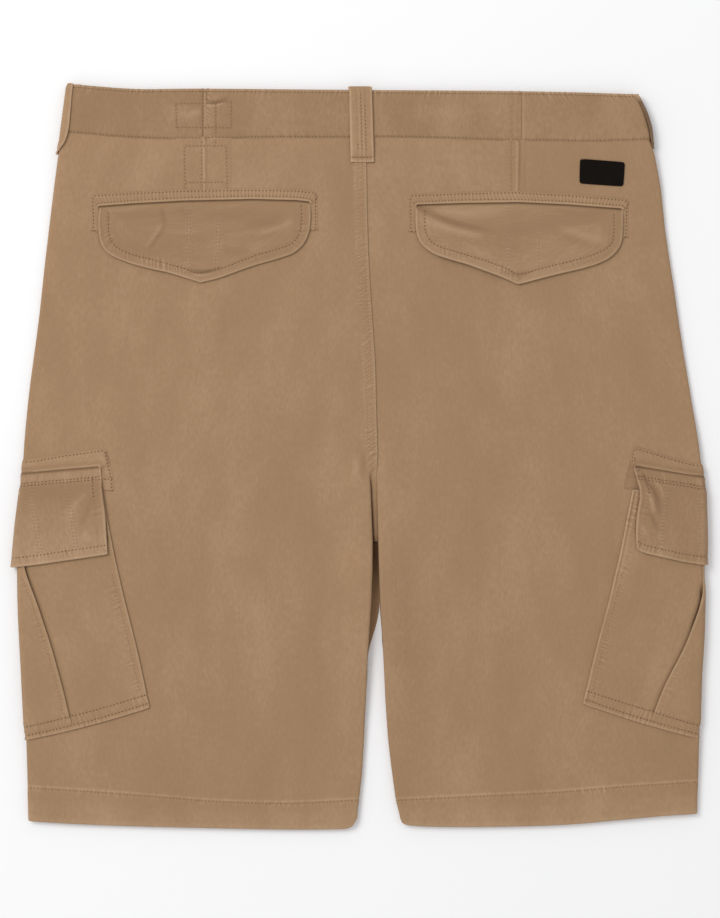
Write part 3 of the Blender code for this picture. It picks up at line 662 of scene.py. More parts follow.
# %% Lines across the panels
# Each line is X and Y, from the wearer's left to right
WAIST_STITCHING = ((-226, 247.8), (-204, 246.2), (-187, 244.5), (-158, 242.9), (-128, 242.3),
    (-98, 242.9), (-70, 243.6), (-22, 243.5), (24, 243.8), (54, 243.3), (84, 242.3), (115, 241.3),
    (145, 241.1), (165, 240.6), (180, 240.6), (206, 241.4), (224, 241.9))
BAND_FOOT = 1.7  # the waistband ends this far below its stitching
HEM_LINES = {
    LEFT: ((-258, -276.8), (-218.1, -279.3), (-180.9, -280.8), (-117, -282.5), (-52.4, -283.7),
        (-16, -283.4), (-9.5, -283), (-5, -281.2), (-2.6, -277.8), (-1.6, -273.5)),
    RIGHT: ((30, -276.6), (32.7, -278.9), (37.9, -280.6), (61.6, -281.7), (105.6, -281.6), (155, -280.1),
        (199.9, -276.3), (233.3, -273.2), (262, -271.4)),
}
HEM_STITCHING = {
    LEFT: ((-258, -251.5), (-199.1, -255.3), (-143.6, -259.7), (-107.2, -262.6), (-51.7, -263.9),
        (2, -261.2)),
    RIGHT: ((24, -261.8), (82.1, -259), (147.8, -255.7), (197.2, -251.6), (262, -247.2)),
}
HEM_SHIFT = 0.9  # a folded edge is rolled, so its grid ends this far inside
WAIST_Y, STITCH_Y, HEM_Y = 241.0, -257.0, -280.0  # nominal heights of the three lines
FRONT_DROP, FRONT_DROP_WIDTH = 9.0, 100.0


def height_at(line, x):
    """Y of a line across the panels at x"""
    dense = rounded(line, 4)
    return np.interp(x, dense[:, 0], dense[:, 1])


def bent_y(side, face, y, x, inward):
    """A row's real Y: rows bend to follow the waist seam, the hem's stitching and the hem"""
    waist = height_at(WAIST_STITCHING, x) - BAND_FOOT
    if face == FRONT:
        waist = waist - FRONT_DROP * np.clip(inward / FRONT_DROP_WIDTH, 0, 1)
    stitching = height_at(HEM_STITCHING[side], x)
    hem = height_at(HEM_LINES[side], x) + HEM_SHIFT
    shift = np.zeros(np.broadcast(x, y).shape)
    shift += (waist - WAIST_Y) * ramp(205, WAIST_Y, y)
    shift += (stitching - STITCH_Y) * ramp(-205, STITCH_Y, y) * (y > STITCH_Y)
    mix = np.clip((STITCH_Y - y) / (STITCH_Y - HEM_Y), 0, 1)
    shift += ((stitching - STITCH_Y) * (1 - mix) + (hem - HEM_Y) * mix) * (y <= STITCH_Y)
    return y + shift


# %% Creases of the back and the front
BACK_CREASES = {
    LEFT: ((((-208, 126), (-213, 43), (-203, 5)), 9, 0.5), (((-174, 119), (-188, 66)), 8, 0.35),
        (((-109, 50), (-92, -33), (-83, -79)), 11, 0.45), (((-150, 130), (-152, 80)), 5, -0.25),
        (((-100, 128), (-104, 60)), 6, -0.3), (((6, 14), (0, -5), (-8, -26)), 2.8, 0.8),
        (((2, 14), (3.5, -2), (6, -18)), 3.2, -1.5)),
    RIGHT: ((((54, 126), (84, 66), (122, 20)), 12, -0.5), (((35, 130), (36, 85)), 4, 0.25),
        (((130, 119), (153, 88)), 7, 0.3), (((20, 10), (19, -40)), 4, 0.35)),
}


def body_creases(side, face, x, y):
    """The soft folds of the whole half, which everything sewn on shares"""
    if face == FRONT:
        return np.zeros(np.shape(x))
    return creased(BACK_CREASES[side], x, y)


# %% Panels
SIDE_STEPS = (0.0, 0.5, 1.1, 1.9, 2.9, 4.2, 6.0, 8.5, 11.5)
INNER_STEPS = (12.0, 9.5, 7.5, 6.0, 4.8, 3.8, 2.9, 2.2, 1.6, 1.0, 0.5, 0.0)
ROWS_AT_STITCHES = (9, 6.5, 4.5, 3, 2, 1.2, 0.6, 0, -0.6, -1.2, -2, -3, -4.5, -6.5)
HEM_ROWS = tuple(STITCH_Y + step for step in ROWS_AT_STITCHES)
PITCH = {BACK: 2.0, FRONT: 3.0}
HEM_THICKNESS = 2.1
UNDER_BAND = 0.9  # a panel's top dips this far to go in under the waistband


def panel_rows(pitch):
    above = np.arange(WAIST_Y + 3.0, HEM_ROWS[0] + pitch / 2, -pitch)
    below = np.arange(HEM_ROWS[-1] - pitch, HEM_Y + pitch / 2, -pitch)
    return np.concatenate([above, HEM_ROWS, below, [HEM_Y]])

# %% Cloth at the fork
# Below the fork the fronts run on towards each other under the legs, with shade painted on them, so
# that dark cloth fills the gap where the legs' shade falls: share of the gap that each one covers,
# and the Y where that starts and ends to draw back
WEB_TOP = (-58.0, -66.0)
WEB = {LEFT: (0.92, -108.0, -154.0), RIGHT: (0.08, -108.0, -140.0)}
WEB_REACH = 22.0
CROTCH_RISE = 4.2  # the inner folds stand this much fuller just below the fork


def web(side, points, from_inner):
    """Widens a front's inner end below the fork; returns how much shade is painted on each point there"""
    y, (share, start, end) = points[..., 1], WEB[side]
    gap = HALVES[RIGHT].x_in(y) - HALVES[LEFT].x_in(y)
    reach = share * gap * ramp(end, start, y) * ramp(*WEB_TOP, y)
    points[..., 0] -= side * reach * ramp(WEB_REACH, 0, from_inner)
    painted_shade_in_fork = ramp(-50, -62, y) * (0.05 + 0.95 * ramp(-112, -68, y))
    return painted_shade_in_fork * ramp(14, 2, from_inner)


def risen(points, from_inner):
    """How much higher the back stands along its inner fold below the fork; nothing at the floor"""
    y, z = points[..., 1], points[..., 2]
    rise = CROTCH_RISE * ramp(-62, -92, y) * ramp(-240, -120, y)
    return rise * ramp(45, 7, from_inner) * np.clip((z - 0.5) / 3.5, 0, 1)

# %% Back and front panels
def make_panel(side, face):
    half, pitch = HALVES[side], PITCH[face]
    rows = panel_rows(pitch)
    total = section_length(half, face, rows)
    between = np.linspace(0, 1, int(255 / pitch))[1:-1]
    start, end = SIDE_STEPS[-1], total[:, None] - INNER_STEPS[0]
    s = np.hstack([np.tile(SIDE_STEPS, (len(rows), 1)), start + between * (end - start),
                   total[:, None] - np.array(INNER_STEPS)])
    nominal = np.broadcast_to(rows[:, None], s.shape)
    flat_x = place(half, face, s, nominal)[..., 0]
    y = bent_y(side, face, nominal, flat_x, abs(flat_x - half.x_out(nominal)))
    off, at = beside(rounded(HEM_STITCHING[side], 8), flat_x, y)
    below_hem = ramp(1.5, -2, off)
    pulled = ripple(at + 0.3 * off, 3.4, 1.7 + side) * bell(off + 0.6, 2.4)
    seam, dent = bell(s, 0.7), bell(off, 0.9)
    folds = body_creases(side, face, flat_x, y)
    out = folds + 0.22 * below_hem + 0.10 * pulled
    out = out - 0.22 * dent - 0.35 * seam
    out = out - UNDER_BAND * ramp(WAIST_Y + 0.3, WAIST_Y + 1.4, nominal)
    tone = 0.12 * pulled - 0.03 * dent - 0.12 * seam
    tone = tone + 0.16 * bell(off - 1.6, 0.8) + 0.08 * ramp(-276, -279.5, nominal)
    tone = tone + 0.09 * folds + 0.06 * ramp(-260, -272, nominal)
    if face == FRONT:
        out = np.minimum(out, 0.0)
    points = place(half, face, s, y, out)
    if face == FRONT:
        # Painted shade on the fronts' cloth in the fork
        tone = tone - 0.9 * web(side, points, total[:, None] - s)
    else:
        points[..., 2] += risen(points, total[:, None] - s)
    facing, name = -side * face, f"{'back' if face == BACK else 'front'}_panel_{WORDS[side]}"
    keep_row(name, points, facing, nominal, STITCH_Y)
    grid = turned(cloth_grid(points, tone), "last_row", HEM_THICKNESS, 25.0, facing)
    return cloth(name, grid, BODY_TWILL, facing)


for side, word in WORDS.items():
    for face, name in ((BACK, "back"), (FRONT, "front")):
        panel = make_panel(side, face)
        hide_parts(f"{name}_{word}")


# %% [markdown]
# ## What stitching does to cloth
# A row of stitches pulls the layers together: it lies in a narrow dent, and the cloth beside it
# stands in small puckers. After washing, the puckers are rubbed pale and the dent stays dark. The
# free edge of a sewn piece is a fold, so it is full and its rim is rubbed the most.

# %% Relief of rows and edges: height in millimetres, and tone
STITCH_PITCH = 2.72


def both(field, height, tone):
    """One field as relief, with its own strength in height and in tone"""
    return np.stack([height * field, tone * field])


def ladder(at, seed):
    """A wave with a crest between each two stitches"""
    return np.cos(2 * math.pi * at / STITCH_PITCH) * (0.75 + 0.35 * ripple(at, 5.3, seed))


def row_relief(off, at, seed, depth=0.32, pull=0.22, pitch=3.1, reach=2.6):
    """A row of stitches at a distance off, below 0 towards the free edge, with at measured along it.
    The puckers run further towards the free edge"""
    near = bell(off, 0.85)
    waves = pull * ripple(at + 0.3 * off, pitch, seed) * bell(off + reach / 2, 1.2 * reach)
    return np.stack([0.7 * waves - depth * near, waves - 0.06 * near])


def faint_row(off, at, seed):
    """A row whose thread has worn pale: a fine ridge, no longer a dent"""
    return both(bell(off, 0.7) * (0.75 + 0.35 * ripple(at, 2.6, seed)), 0.14, 0.11)


def rows_relief(lines, x, y, seed, **settings):
    total = np.zeros((2, *np.shape(x)))
    for number, line in enumerate(lines):
        off, at = beside(rounded(line, 6), x, y)
        total += row_relief(off, at, seed + number, **settings)
    return total


def edge_relief(inside, rim=0.16, bead=0.22):
    """A folded edge, where inside is the distance from it"""
    return np.stack([bead * bell(inside - 0.9, 0.9), rim * bell(inside - 0.3, 0.75)])

# %% Laying a piece on the panels or round a leg
def ground(x, y):
    """Height of the back of the shorts at x, y"""
    heights = []
    for side in (LEFT, RIGHT):
        half = HALVES[side]
        inward = np.clip(-side * (x - half.x_out(y)), 0, None)
        heights.append(half.level(BACK, y, inward) + body_creases(side, BACK, x, y))
    share = ramp(-2.0, 2.0, x - HALVES[RIGHT].x_in(y))
    return heights[0] * (1 - share) + heights[1] * share


def laid(x, y, out):
    """Points that lie on the back of the shorts, out above it"""
    x, y, out = np.broadcast_arrays(x, y, out)
    return np.stack([x, y, ground(x, y) + out], axis=-1)


def wrapped(side, g, y, out=0.0):
    """Points round the side of the shorts: g is the distance from the side seam, above 0 on the
    back and below 0 on the front"""
    half = HALVES[side]
    g, y, out = np.broadcast_arrays(g, y, out)
    back = place(half, BACK, np.maximum(g, 0), y, out)
    back[..., 2] += body_creases(side, BACK, back[..., 0], y)
    front = place(half, FRONT, np.maximum(-g, 0), y, out)
    return np.where((g >= 0)[..., None], back, front)

# %% Places of a grid's rows, and the shades of sewn pieces
def even(start, end, pitch):
    return np.linspace(start, end, max(2, int(abs(end - start) / pitch) + 1))


EDGE_STEPS = np.array([0.0, 0.4, 0.8, 1.3, 1.9, 2.6, 3.5, 4.6, 6.0])  # crowded near an edge


def crowded(start, end, pitch):
    """Places from start to end that crowd at both ends"""
    way = 1 if end > start else -1
    middle = even(start + way * (EDGE_STEPS[-1] + pitch), end - way * (EDGE_STEPS[-1] + pitch), pitch)
    return np.concatenate([start + way * EDGE_STEPS, middle, end - way * EDGE_STEPS[::-1]])


TRIM_TWILL = twill("trim_twill", (0.355, 0.217, 0.118))
BAND_TWILL = twill("band_twill", (0.312, 0.188, 0.100))
FLAP_TWILL = twill("flap_twill", (0.318, 0.192, 0.103))
POCKET_TWILL = twill("pocket_twill", (0.345, 0.210, 0.113))
print("edge steps", EDGE_STEPS[-1], "mm wide")

# %% [markdown]
# ## The seat seam
# The two halves of the back are joined by a flat-felled seam: one raw edge is folded round the
# other and two rows of stitches hold it, so it is a strip that stands above the cloth, with a fold
# at its right edge. It runs down into the fork between the legs. The strip needs a finer grid than
# the panels, so it is a grid of its own whose left border sinks into the left panel.

# %% Seat seam
SEAT_EDGE = ((5.5, 240), (5.6, 222.3), (6.5, 175.9), (7.7, 143.3), (10.2, 103.7), (12.3, 71.1),
    (13.1, 37.6), (14, 8.7), (14, -1.9), (13.4, -14), (13.7, -25), (14.5, -64.5))
SEAT_ROWS = {
    "inner": ((3.4, 238.0), (3.6, 217.0), (4.4, 175.0), (5.4, 150.0), (7.3, 114.4), (10.3, 66.5),
              (11.4, 35.0), (12.3, 4.9), (12.0, -9.0)),
    "outer": ((-1.2, 238.0), (-1.0, 208.6), (-0.6, 175.0), (0.4, 150.0), (2.4, 114.4), (5.4, 66.5),
              (7.2, 35.0), (7.6, 4.9)),
}
FELL_WIDTH = ((-66.0, 6.2), (-26.0, 5.4), (-8.0, 8.4), (60.0, 9.0), (240.0, 8.8))
FELL_SINK = ((-66.0, 4.0), (-45.0, 3.0), (-28.0, 1.9), (-14.0, 0.7), (-4.0, 0.0))
FELL_STEPS = np.array([-1.6, -0.7, 0.0, 0.7, 1.4, 2.1, 2.8, 3.5, 4.2, 4.9, 5.6, 6.3, 7.0, 7.7, 8.3, 8.8, 9.2])
FELL_STAND = 0.8


def at_y(line, y):
    """X of a line that runs down the cloth"""
    dense = rounded(line, 4)[::-1]
    return np.interp(y, dense[:, 1], dense[:, 0])


def make_seat_seam():
    y = even(238, -64.5, 0.9)[:, None]
    edge = at_y(SEAT_EDGE, y)
    width = look_up(FELL_WIDTH, y)
    sink = look_up(FELL_SINK, y)
    from_left = FELL_STEPS * width / (FELL_STEPS[-1] + 0.3)
    x = edge - width + from_left
    y = np.broadcast_to(y, x.shape)
    inside = edge - 0.3 - x
    low = ramp(-2, -28, y)
    out = FELL_STAND * ramp(-0.8, 1.2, from_left) * (1 - low) - sink
    relief = edge_relief(inside, rim=0.13)
    relief += rows_relief(SEAT_ROWS.values(), x, y, 2.0, pull=0.12, depth=0.22, pitch=2.6)
    slanted = ripple(y - 0.8 * x, 3.5, 4) * bell(from_left - 4.2, 3)
    strength = np.interp(y, (-64, -30, 0, 60, 130, 240), (0.08, 0.20, 0.36, 0.28, 0.20, 0.16))
    relief += both(strength * slanted, 1, 0.6)
    points = laid(x, y, out + relief[0])
    beyond_fold = x - HALVES[LEFT].x_in(y)
    # Painted shade: a dark line where the left leg's fold stands over the strip, and the strip darker down
    # into the fork
    painted_shade_by_fold = -1.0 * ramp(-4, -26, y) * bell(beyond_fold - 0.2, 1)
    shaded = -0.25 * ramp(-6, -64, y) - 0.3 * ramp(-58, -64, y)
    tone = relief[1] * (1 - 0.6 * low) + painted_shade_by_fold + shaded
    grid = turned(cloth_grid(points, tone), "last_col", 1.3, 0.8, BACK, -0.1)
    grid = turned(grid, "last_row", 1.0, 1.0, BACK, -0.4)
    return cloth("seat_seam", grid, BODY_TWILL, BACK)


seat_seam = make_seat_seam()

# %% [markdown]
# ## Waistband
# The waistband is a folded double strip in three parts. The centre back part lies between two
# seams, and each side part goes from its seam round the side of the body to the centre front. It
# is stitched along its top edge and along its foot, and between the two rows it stands full.

# %% Lines of the waistband
BAND_TOP = ((-228, 283), (-215.8, 282.5), (-169.5, 279.5), (-117.8, 279.7), (-7.6, 278.8), (121.6, 277.8),
    (212, 275.6), (222, 275.2))
BAND_SEAMS = {LEFT: -118.0, RIGHT: 123.4}
CENTRE_FRONT = 4.9
BAND_ROLL = 1.1
BAND_TUCK = 1.4  # the side parts run on this far under the centre part
BAND_LINING = 28.0  # the band is double: its lining reaches this far down inside
BAND_TOP_ROW, BAND_FOOT_ROW = 1.3, 1.3  # rows of stitches, from the grid's two borders
BAND_SHARES = crowded(0, 36, 0.95) / 36.0
# Rows of stitches that show on the back: a reinforcement inside the band and the seams
BAND_BACK_ROWS = {
    LEFT: (((-118.8, 278), (-118.8, 240.5)), ((-115.6, 278), (-115.6, 268)),
        ((-139.1, 267.9), (-119, 268)), ((-139.1, 267.9), (-138.4, 249.9)),
        ((-138.4, 249.9), (-96.7, 249.6)), ((-96.9, 269.4), (-96.7, 249.8)),
        ((-115.2, 268.2), (-97, 269.6)), ((-108.7, 268.2), (-108.7, 240))),
    RIGHT: (((121.6, 276), (121.4, 240.5)), ((116.2, 276), (116.2, 240.5))),
}
BAND_CREASES = ((((-116, 268.4), (-108, 268.8), (-97, 272.6)), 1.2, -1.1),
                (((-116, 266.4), (-109, 266.8), (-101, 269)), 1.1, 0.6),
                (((-132, 257), (-125, 261), (-119, 263)), 2.2, 0.4),
                (((-150, 262), (-120, 258)), 5, 0.2), (((30, 262), (90, 258)), 7, 0.2))


def band_relief(x, y, at, from_top, from_foot, on_back):
    relief = row_relief(from_top - BAND_TOP_ROW, at, 1, pull=0.17, pitch=3.4, reach=4)
    relief += row_relief(from_foot - BAND_FOOT_ROW, at, 2.3, pitch=4.4, reach=4.5, pull=0.09)
    relief += edge_relief(from_top, rim=0.12)
    full = np.sin(math.pi * np.clip(from_top / (from_top + from_foot), 0, 1)) ** 0.6
    folds = creased(BAND_CREASES, x, y) * on_back
    relief += np.stack([0.30 * full + folds, 0.3 * folds])
    relief[0] -= 0.8 * ramp(1.1, 0, from_foot)
    from_seam = x - BAND_SEAMS[LEFT] - 3.2
    pulled = ripple(y + 0.7 * x, 3.4, 4) * bell(from_seam, 1.9) * on_back
    relief += both(pulled, 0.25, 0.22)
    for lines in BAND_BACK_ROWS.values():
        relief += rows_relief(lines, x, y, 5, pull=0.05, depth=0.22, reach=2) * on_back
    return relief


# %% Waistband pieces
def band_heights(x, drop_in):
    top = height_at(BAND_TOP, x) - BAND_ROLL - 10.0 * drop_in
    foot = height_at(WAIST_STITCHING, x) - BAND_FOOT - FRONT_DROP * drop_in
    return top, foot


def sewn_band(name, points, tone, from_top, from_foot, facing, blunt):
    """Keeps a band's two rows of stitches and rolls its top and its foot"""
    keep_row(name, points, facing, from_top, BAND_TOP_ROW)
    keep_row(name, points, facing, -from_foot, -BAND_FOOT_ROW)
    grid = turned(cloth_grid(points, tone), "first_row", 2 * BAND_ROLL, BAND_LINING, facing, blunt=blunt)
    return turned(grid, "last_row", 0.6, 1.0, facing)


def make_band_back():
    x = crowded(BAND_SEAMS[LEFT], BAND_SEAMS[RIGHT], 0.95)
    top, foot = band_heights(x, 0.0)
    y = top + (foot - top) * BAND_SHARES[:, None]
    x = np.broadcast_to(x, y.shape)
    relief = band_relief(x, y, x, top - y, y - foot, 1.0)
    ends = np.minimum(x - BAND_SEAMS[LEFT], BAND_SEAMS[RIGHT] - x)
    relief += edge_relief(ends, rim=0.09)
    relief[1] += 0.05 * ramp(20, 90, x)
    relief += both(bell(ends, 0.5), -0.35, -0.2)
    name, points = "waistband_centre", laid(x, y, BAND_PROUD + relief[0])
    grid = sewn_band(name, points, relief[1], top - y, y - foot, BACK, (True, True))
    return cloth(name, grid, BAND_TWILL, BACK)


def make_band_side(side):
    half = HALVES[side]
    nominal = np.array([260.0])
    g_back = girth(half, BAND_SEAMS[side], nominal)[0] + BAND_TUCK
    g_front = girth(half, CENTRE_FRONT, nominal)[0]
    back = crowded(g_back, 9, 0.95)
    front = -crowded(9, g_front, 2)
    g = np.concatenate([back, even(7.5, -7.5, 0.6), front])
    flat = wrapped(side, g, np.full(g.shape, 258.0))
    on_front = ramp(3, -3, g)
    drop_in = np.clip(abs(flat[:, 0] - half.x_out(258.0)) / FRONT_DROP_WIDTH, 0, 1) * on_front
    top, foot = band_heights(flat[:, 0], drop_in)
    y = top + (foot - top) * BAND_SHARES[:, None]
    # The seam and the centre front are upright, while the side fold leans
    lean = (half.x_out(258.0) - half.x_out(y)) * side
    g = g - lean * ramp(10.0, 60.0, abs(g)) * np.sign(g)
    x = wrapped(side, g, y)[..., 0]
    relief = band_relief(x, y, g, top - y, y - foot, ramp(5, 20, g))
    ends = side * (x - BAND_SEAMS[side]) + 50 * (g < 20)
    relief[0] -= 0.45 * ramp(1.2, -0.6, ends)
    relief[1] -= 0.25 * ramp(0.9, -0.2, ends)
    if side == RIGHT:
        relief[1] += 0.05 + 0.10 * bell(ends - 1.6, 0.7)
    out = np.where(g > 0, relief[0], np.minimum(relief[0], 0.2))
    points, name = wrapped(side, g, y, BAND_PROUD + out), "waistband_side_" + WORDS[side]
    grid = sewn_band(name, points, relief[1], top - y, y - foot, side, (True, False))
    grid = turned(grid, "last_col", 2.0, 8.0, side, corners=True)
    return cloth(name, grid, BAND_TWILL, side)


band_back = make_band_back()
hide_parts("waistband_back")
for side, word in WORDS.items():
    band = make_band_side(side)
    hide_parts("waistband_" + word)

# %% [markdown]
# ## Belt loops
# A belt loop is a narrow folded strip with rows of stitches along it. Its upper end goes over
# the waistband's top edge and its lower end is turned under and held by a dense bar of stitches.
# The loop at the centre back lies flat. The side loops go round the folds, so they are seen edge on.

# %% Sizes, rows and relief of a loop
LOOP_HALF = 8.5
LOOP_ACROSS = np.array([-8.5, -8.1, -7.5, -6.7, -5.7, -4.7, -3.9, -3.3, -2.7, -2.0, -1.3, -0.6, 0.0, 0.6,
                        1.3, 2.0, 2.7, 3.3, 3.9, 4.7, 5.7, 6.7, 7.5, 8.1, 8.5])
LOOP_ROWS_AT = (-3.0, 0.1, 3.2)
LOOP_BAR = 227.0  # Y of the stitches across the centre back loop's lower end
FRONT_LOOP_PLACE = 118.0  # the front loops lie this far in from the side
# Down the centre back loop: Y, X of its middle and how wide it is beside its full width
BACK_LOOP_MIDDLE = ((222.0, 2.7), (228.8, 2.5), (257.6, 1.8), (277.0, 1.3), (282.0, 0.5))
BACK_LOOP_WIDTH = ((222.0, 0.98), (257.6, 0.96), (277.0, 0.955), (280.5, 1.0))
BACK_LOOP_STAND = ((223.4, 1.9), (227, 1.75), (231, 2.1), (236, 2.2), (244, 2.3), (256, 2.9), (274, 2.7),
    (278, 2.4), (280.6, 1.6))


def loop_relief(across, down, seed):
    """Across is measured from the middle of the strip and down along it"""
    relief = edge_relief(LOOP_HALF - abs(across), rim=0.22, bead=0.12)
    for row in LOOP_ROWS_AT:
        relief += row_relief(across - row, down, seed + row, pull=0.04, depth=0.25, reach=1.8)
    for ridge in (-1.5, 1.7):
        relief += both(bell(across - ridge, 0.7), 0.16, 0.09)
    return relief


def loop_cloth(name, points, tone, facing, sewn, top, foot, sides):
    """Keeps a loop's rows of stitches where they are sewn, then rolls its two ends and its two long
    edges: thickness of each roll and its reach"""
    across = np.broadcast_to(LOOP_ACROSS, points.shape[:2])
    for row, part in zip(LOOP_ROWS_AT, sewn):
        keep_row(name.removesuffix("_cloth"), points[part], facing, across[part], row, axis=1)
    grid = cloth_grid(points, tone)
    for edge, roll in (("first_row", top), ("last_row", foot), ("first_col", sides), ("last_col", sides)):
        grid = turned(grid, edge, *roll, facing, corners="col" in edge)
    return cloth(name, grid, TRIM_TWILL, facing)


print("a loop is", 2 * LOOP_HALF, "mm wide")

# %% Loop at the centre back
def make_back_loop():
    y = np.concatenate([even(280.6, 277, 0.5), even(276, 229, 1.1), even(228.4, 223.9, 0.5)])
    y = y[:, None]
    x = look_up(BACK_LOOP_MIDDLE, y) + LOOP_ACROSS * look_up(BACK_LOOP_WIDTH, y)
    y = np.broadcast_to(y, x.shape)
    relief = loop_relief(LOOP_ACROSS + 0 * x, 281.0 - y, 3.0)
    relief += both(bell(y - LOOP_BAR, 0.9), -0.35, -0.2)
    low_end = edge_relief(y - 223.6, rim=0.2)
    stand = look_up(BACK_LOOP_STAND, y)
    level = ground(x, np.minimum(y, 277.0))
    points = np.stack([x, y, level + stand + relief[0] + low_end[0]], axis=-1)
    # Elsewhere the thread is worn away
    sewn = [(y[:, 0] > 230.5) & (y[:, 0] < high) for high in (238.0, 277.0, 268.0)]
    loop = loop_cloth("belt_loop_centre", points, relief[1] + low_end[1], BACK, sewn,
                      (1.6, 6.0), (1.2, 3.0), (1.4, 3.0))
    keep_row("belt_loop_centre", points, BACK, y, LOOP_BAR)
    return loop


loop = make_back_loop()
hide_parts("belt_loop_back")

# %% Loops at the sides and on the front
# Side loops: distances of their edges from the side seam, at the top and at the lower end, Y of
# both ends, and height above the waistband
SideLoop = namedtuple("SideLoop", "back_top front_top back_low front_low y_top y_low stand")
SIDE_LOOPS = {LEFT: SideLoop(7.9, -8.3, 0.6, -15.4, 283.0, 230.2, 1.9),
              RIGHT: SideLoop(2.9, -13.9, 2.1, -14.7, 275.0, 234.8, 1.9)}
# Down a side loop: how far it is bowed towards the back
LOOP_BOW = {
    LEFT: ((0, -3), (0.15, -2), (0.35, 0), (0.65, 2.7), (0.82, 2.7), (0.93, 1.2), (1, 0.4)),
    RIGHT: ((0, 0), (1, 0)),
}
# The right loop stands off the fold in its middle, and shade is painted into its colour below its top
LOOP_BULGE = {LEFT: 0.0, RIGHT: 1.0}
LOOP_SHADE = {LEFT: 0.0, RIGHT: 0.75}


def make_side_loop(side):
    loop = SIDE_LOOPS[side]
    down = np.concatenate([even(0, 0.08, 0.012), even(0.1, 0.9, 0.022), even(0.92, 1, 0.012)])[:, None]
    middle = (loop.back_top + loop.front_top) / 2 * (1 - down) + (loop.back_low + loop.front_low) / 2 * down
    g = middle + smooth(look_up(LOOP_BOW[side], down[:, 0]), 2)[:, None] - LOOP_ACROSS * 0.96
    y = loop.y_top + (loop.y_low - loop.y_top) * down + 0 * g
    relief = loop_relief(LOOP_ACROSS + 0 * g, down * (loop.y_top - loop.y_low), 1.0)
    out = loop.stand + 0.2 * np.sin(math.pi * down) + relief[0]
    out = out - 0.9 * ramp(0.9, 1, down) - 0.7 * ramp(0.05, 0, down)
    bulge = LOOP_BULGE[side] * np.sin(math.pi * down) * ramp(-13, -5, g)
    points = wrapped(side, g, y, np.minimum(out, 2.5) + bulge)
    sewn = [(down[:, 0] > 0.04) & (down[:, 0] < 0.93)] * 3
    # Painted shade on the right side loop
    tone = relief[1] - LOOP_SHADE[side] * ramp(0.06, 0.16, down)
    return loop_cloth("belt_loop_side_" + WORDS[side], points, tone, side, sewn,
                      (1.2, 4.0), (1.0, 3.0), (1.2, 3.0))


def make_front_loop(side):
    half = HALVES[side]
    y = np.concatenate([even(268.5, 266, 0.6), even(265, 221, 1.6), even(220, 217.6, 0.6)])[:, None]
    across = LOOP_ACROSS + 0 * y
    y = np.broadcast_to(y, across.shape)
    relief = loop_relief(across, 268.5 - y, 7.0)
    s = FRONT_LOOP_PLACE + across + half.way_round(y)
    points = place(half, FRONT, s, y, 1.9 + np.minimum(relief[0], 0.2))
    sewn, rolls = [slice(None)] * 3, [(1.2, 3.0)] * 3
    return loop_cloth(f"belt_loop_front_{WORDS[side]}_cloth", points, relief[1], side, sewn, *rolls)


for side, word in WORDS.items():
    loop = make_side_loop(side)
    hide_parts("belt_loop_" + word)
    loop = make_front_loop(side)
    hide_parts("belt_loop_front_" + word)

# %% [markdown]
# ## Back pocket facings
# Round the top of each back pocket goes a folded strip, bent at two corners like an upside-down U.
# Two rows of stitches hold it, and its lower edge is a free fold that stands over the flap. The
# outer border is only a step in the cloth, so there the grid sinks into the panel. The grid runs
# along the U, and each of its rows goes from the outer border to the inner edge.

# %% Facings
# Along a facing: X and Y of the outer border, then X and Y of the inner edge
BACK_FACINGS = {
    LEFT: ((-203.6, 170.4, -196.6, 170.4), (-203.6, 187, -197.8, 185), (-203.6, 196.6, -198.6, 190),
        (-202, 199.6, -197.6, 190.8), (-171.3, 201.6, -171.3, 192.9), (-133, 203.4, -132.2, 195),
        (-80, 204, -80, 196.2), (-44.8, 203.4, -46.8, 195.3), (-33.4, 201.6, -37.8, 194.2),
        (-31.6, 198.6, -36.6, 192.9), (-31.4, 188, -37.4, 186.4), (-31, 171.1, -38.6, 171.1)),
    RIGHT: ((38, 169.8, 45.4, 169.8), (37.9, 186, 44.2, 184), (37.8, 196.2, 43.2, 191.2),
        (39.6, 199.6, 44.6, 192), (80, 201.4, 80, 193.2), (118, 202.1, 121.9, 193.8),
        (160, 200, 160, 192), (203.4, 196.2, 199, 189), (205.2, 193.4, 200.6, 188.1),
        (205.1, 184, 199.8, 181), (204.9, 165.4, 198.2, 165.4)),
}
FACING_ACROSS = np.array([-0.22, -0.1, 0.0, 0.08, 0.16, 0.24, 0.33, 0.43, 0.53, 0.62, 0.71, 0.79, 0.86, 0.92,
                          0.97, 1.0])
FACING_STAND = 1.25
FACING_ROW = 1.7  # stitches, this far in from the outer border
FACING_EDGE_ROW = 1.8  # stitches, this far in from the inner edge
FACING_END_ROW = 1.4  # stitches across each lower end
print("a facing's grid has", len(FACING_ACROSS), "places across")

# %% Grid along a bent strip
def path_of(strips, pitch):
    """Outer and inner border of a strip, as rows of points beside each other"""
    table, rows = np.array(strips, float), []
    for start, end in zip(table, table[1:]):
        count = max(3, int(np.hypot(*(end - start)[:2]) / pitch))
        rows.append(start + (end - start) * np.linspace(0, 1, count, endpoint=False)[:, None])
    rows = np.vstack(rows + [table[-1:]])
    return rows[:, :2], rows[:, 2:]


def facing_grid(outer, inner, row_in):
    """Grid places across a strip, their distance from each border, and the distance along the row
    of stitches that runs row_in from the outer border"""
    across = inner - outer
    width = np.linalg.norm(across, axis=1)[:, None]
    sewn = outer + across * row_in / width
    spots = outer[:, None] + across[:, None] * FACING_ACROSS[None, :, None]
    from_outer, from_inner = FACING_ACROSS * width, (1 - FACING_ACROSS) * width
    at = lengths(sewn)[:, None] + 0 * from_outer
    return spots[..., 0], spots[..., 1], from_outer, from_inner, at


def stood(stand, ends, from_outer):
    """How far a facing stands off: not at all at its two ends, and its outer border sinks in"""
    return stand * ramp(-0.2, 1.4, ends) - 0.35 * ramp(0.3, -1, from_outer)

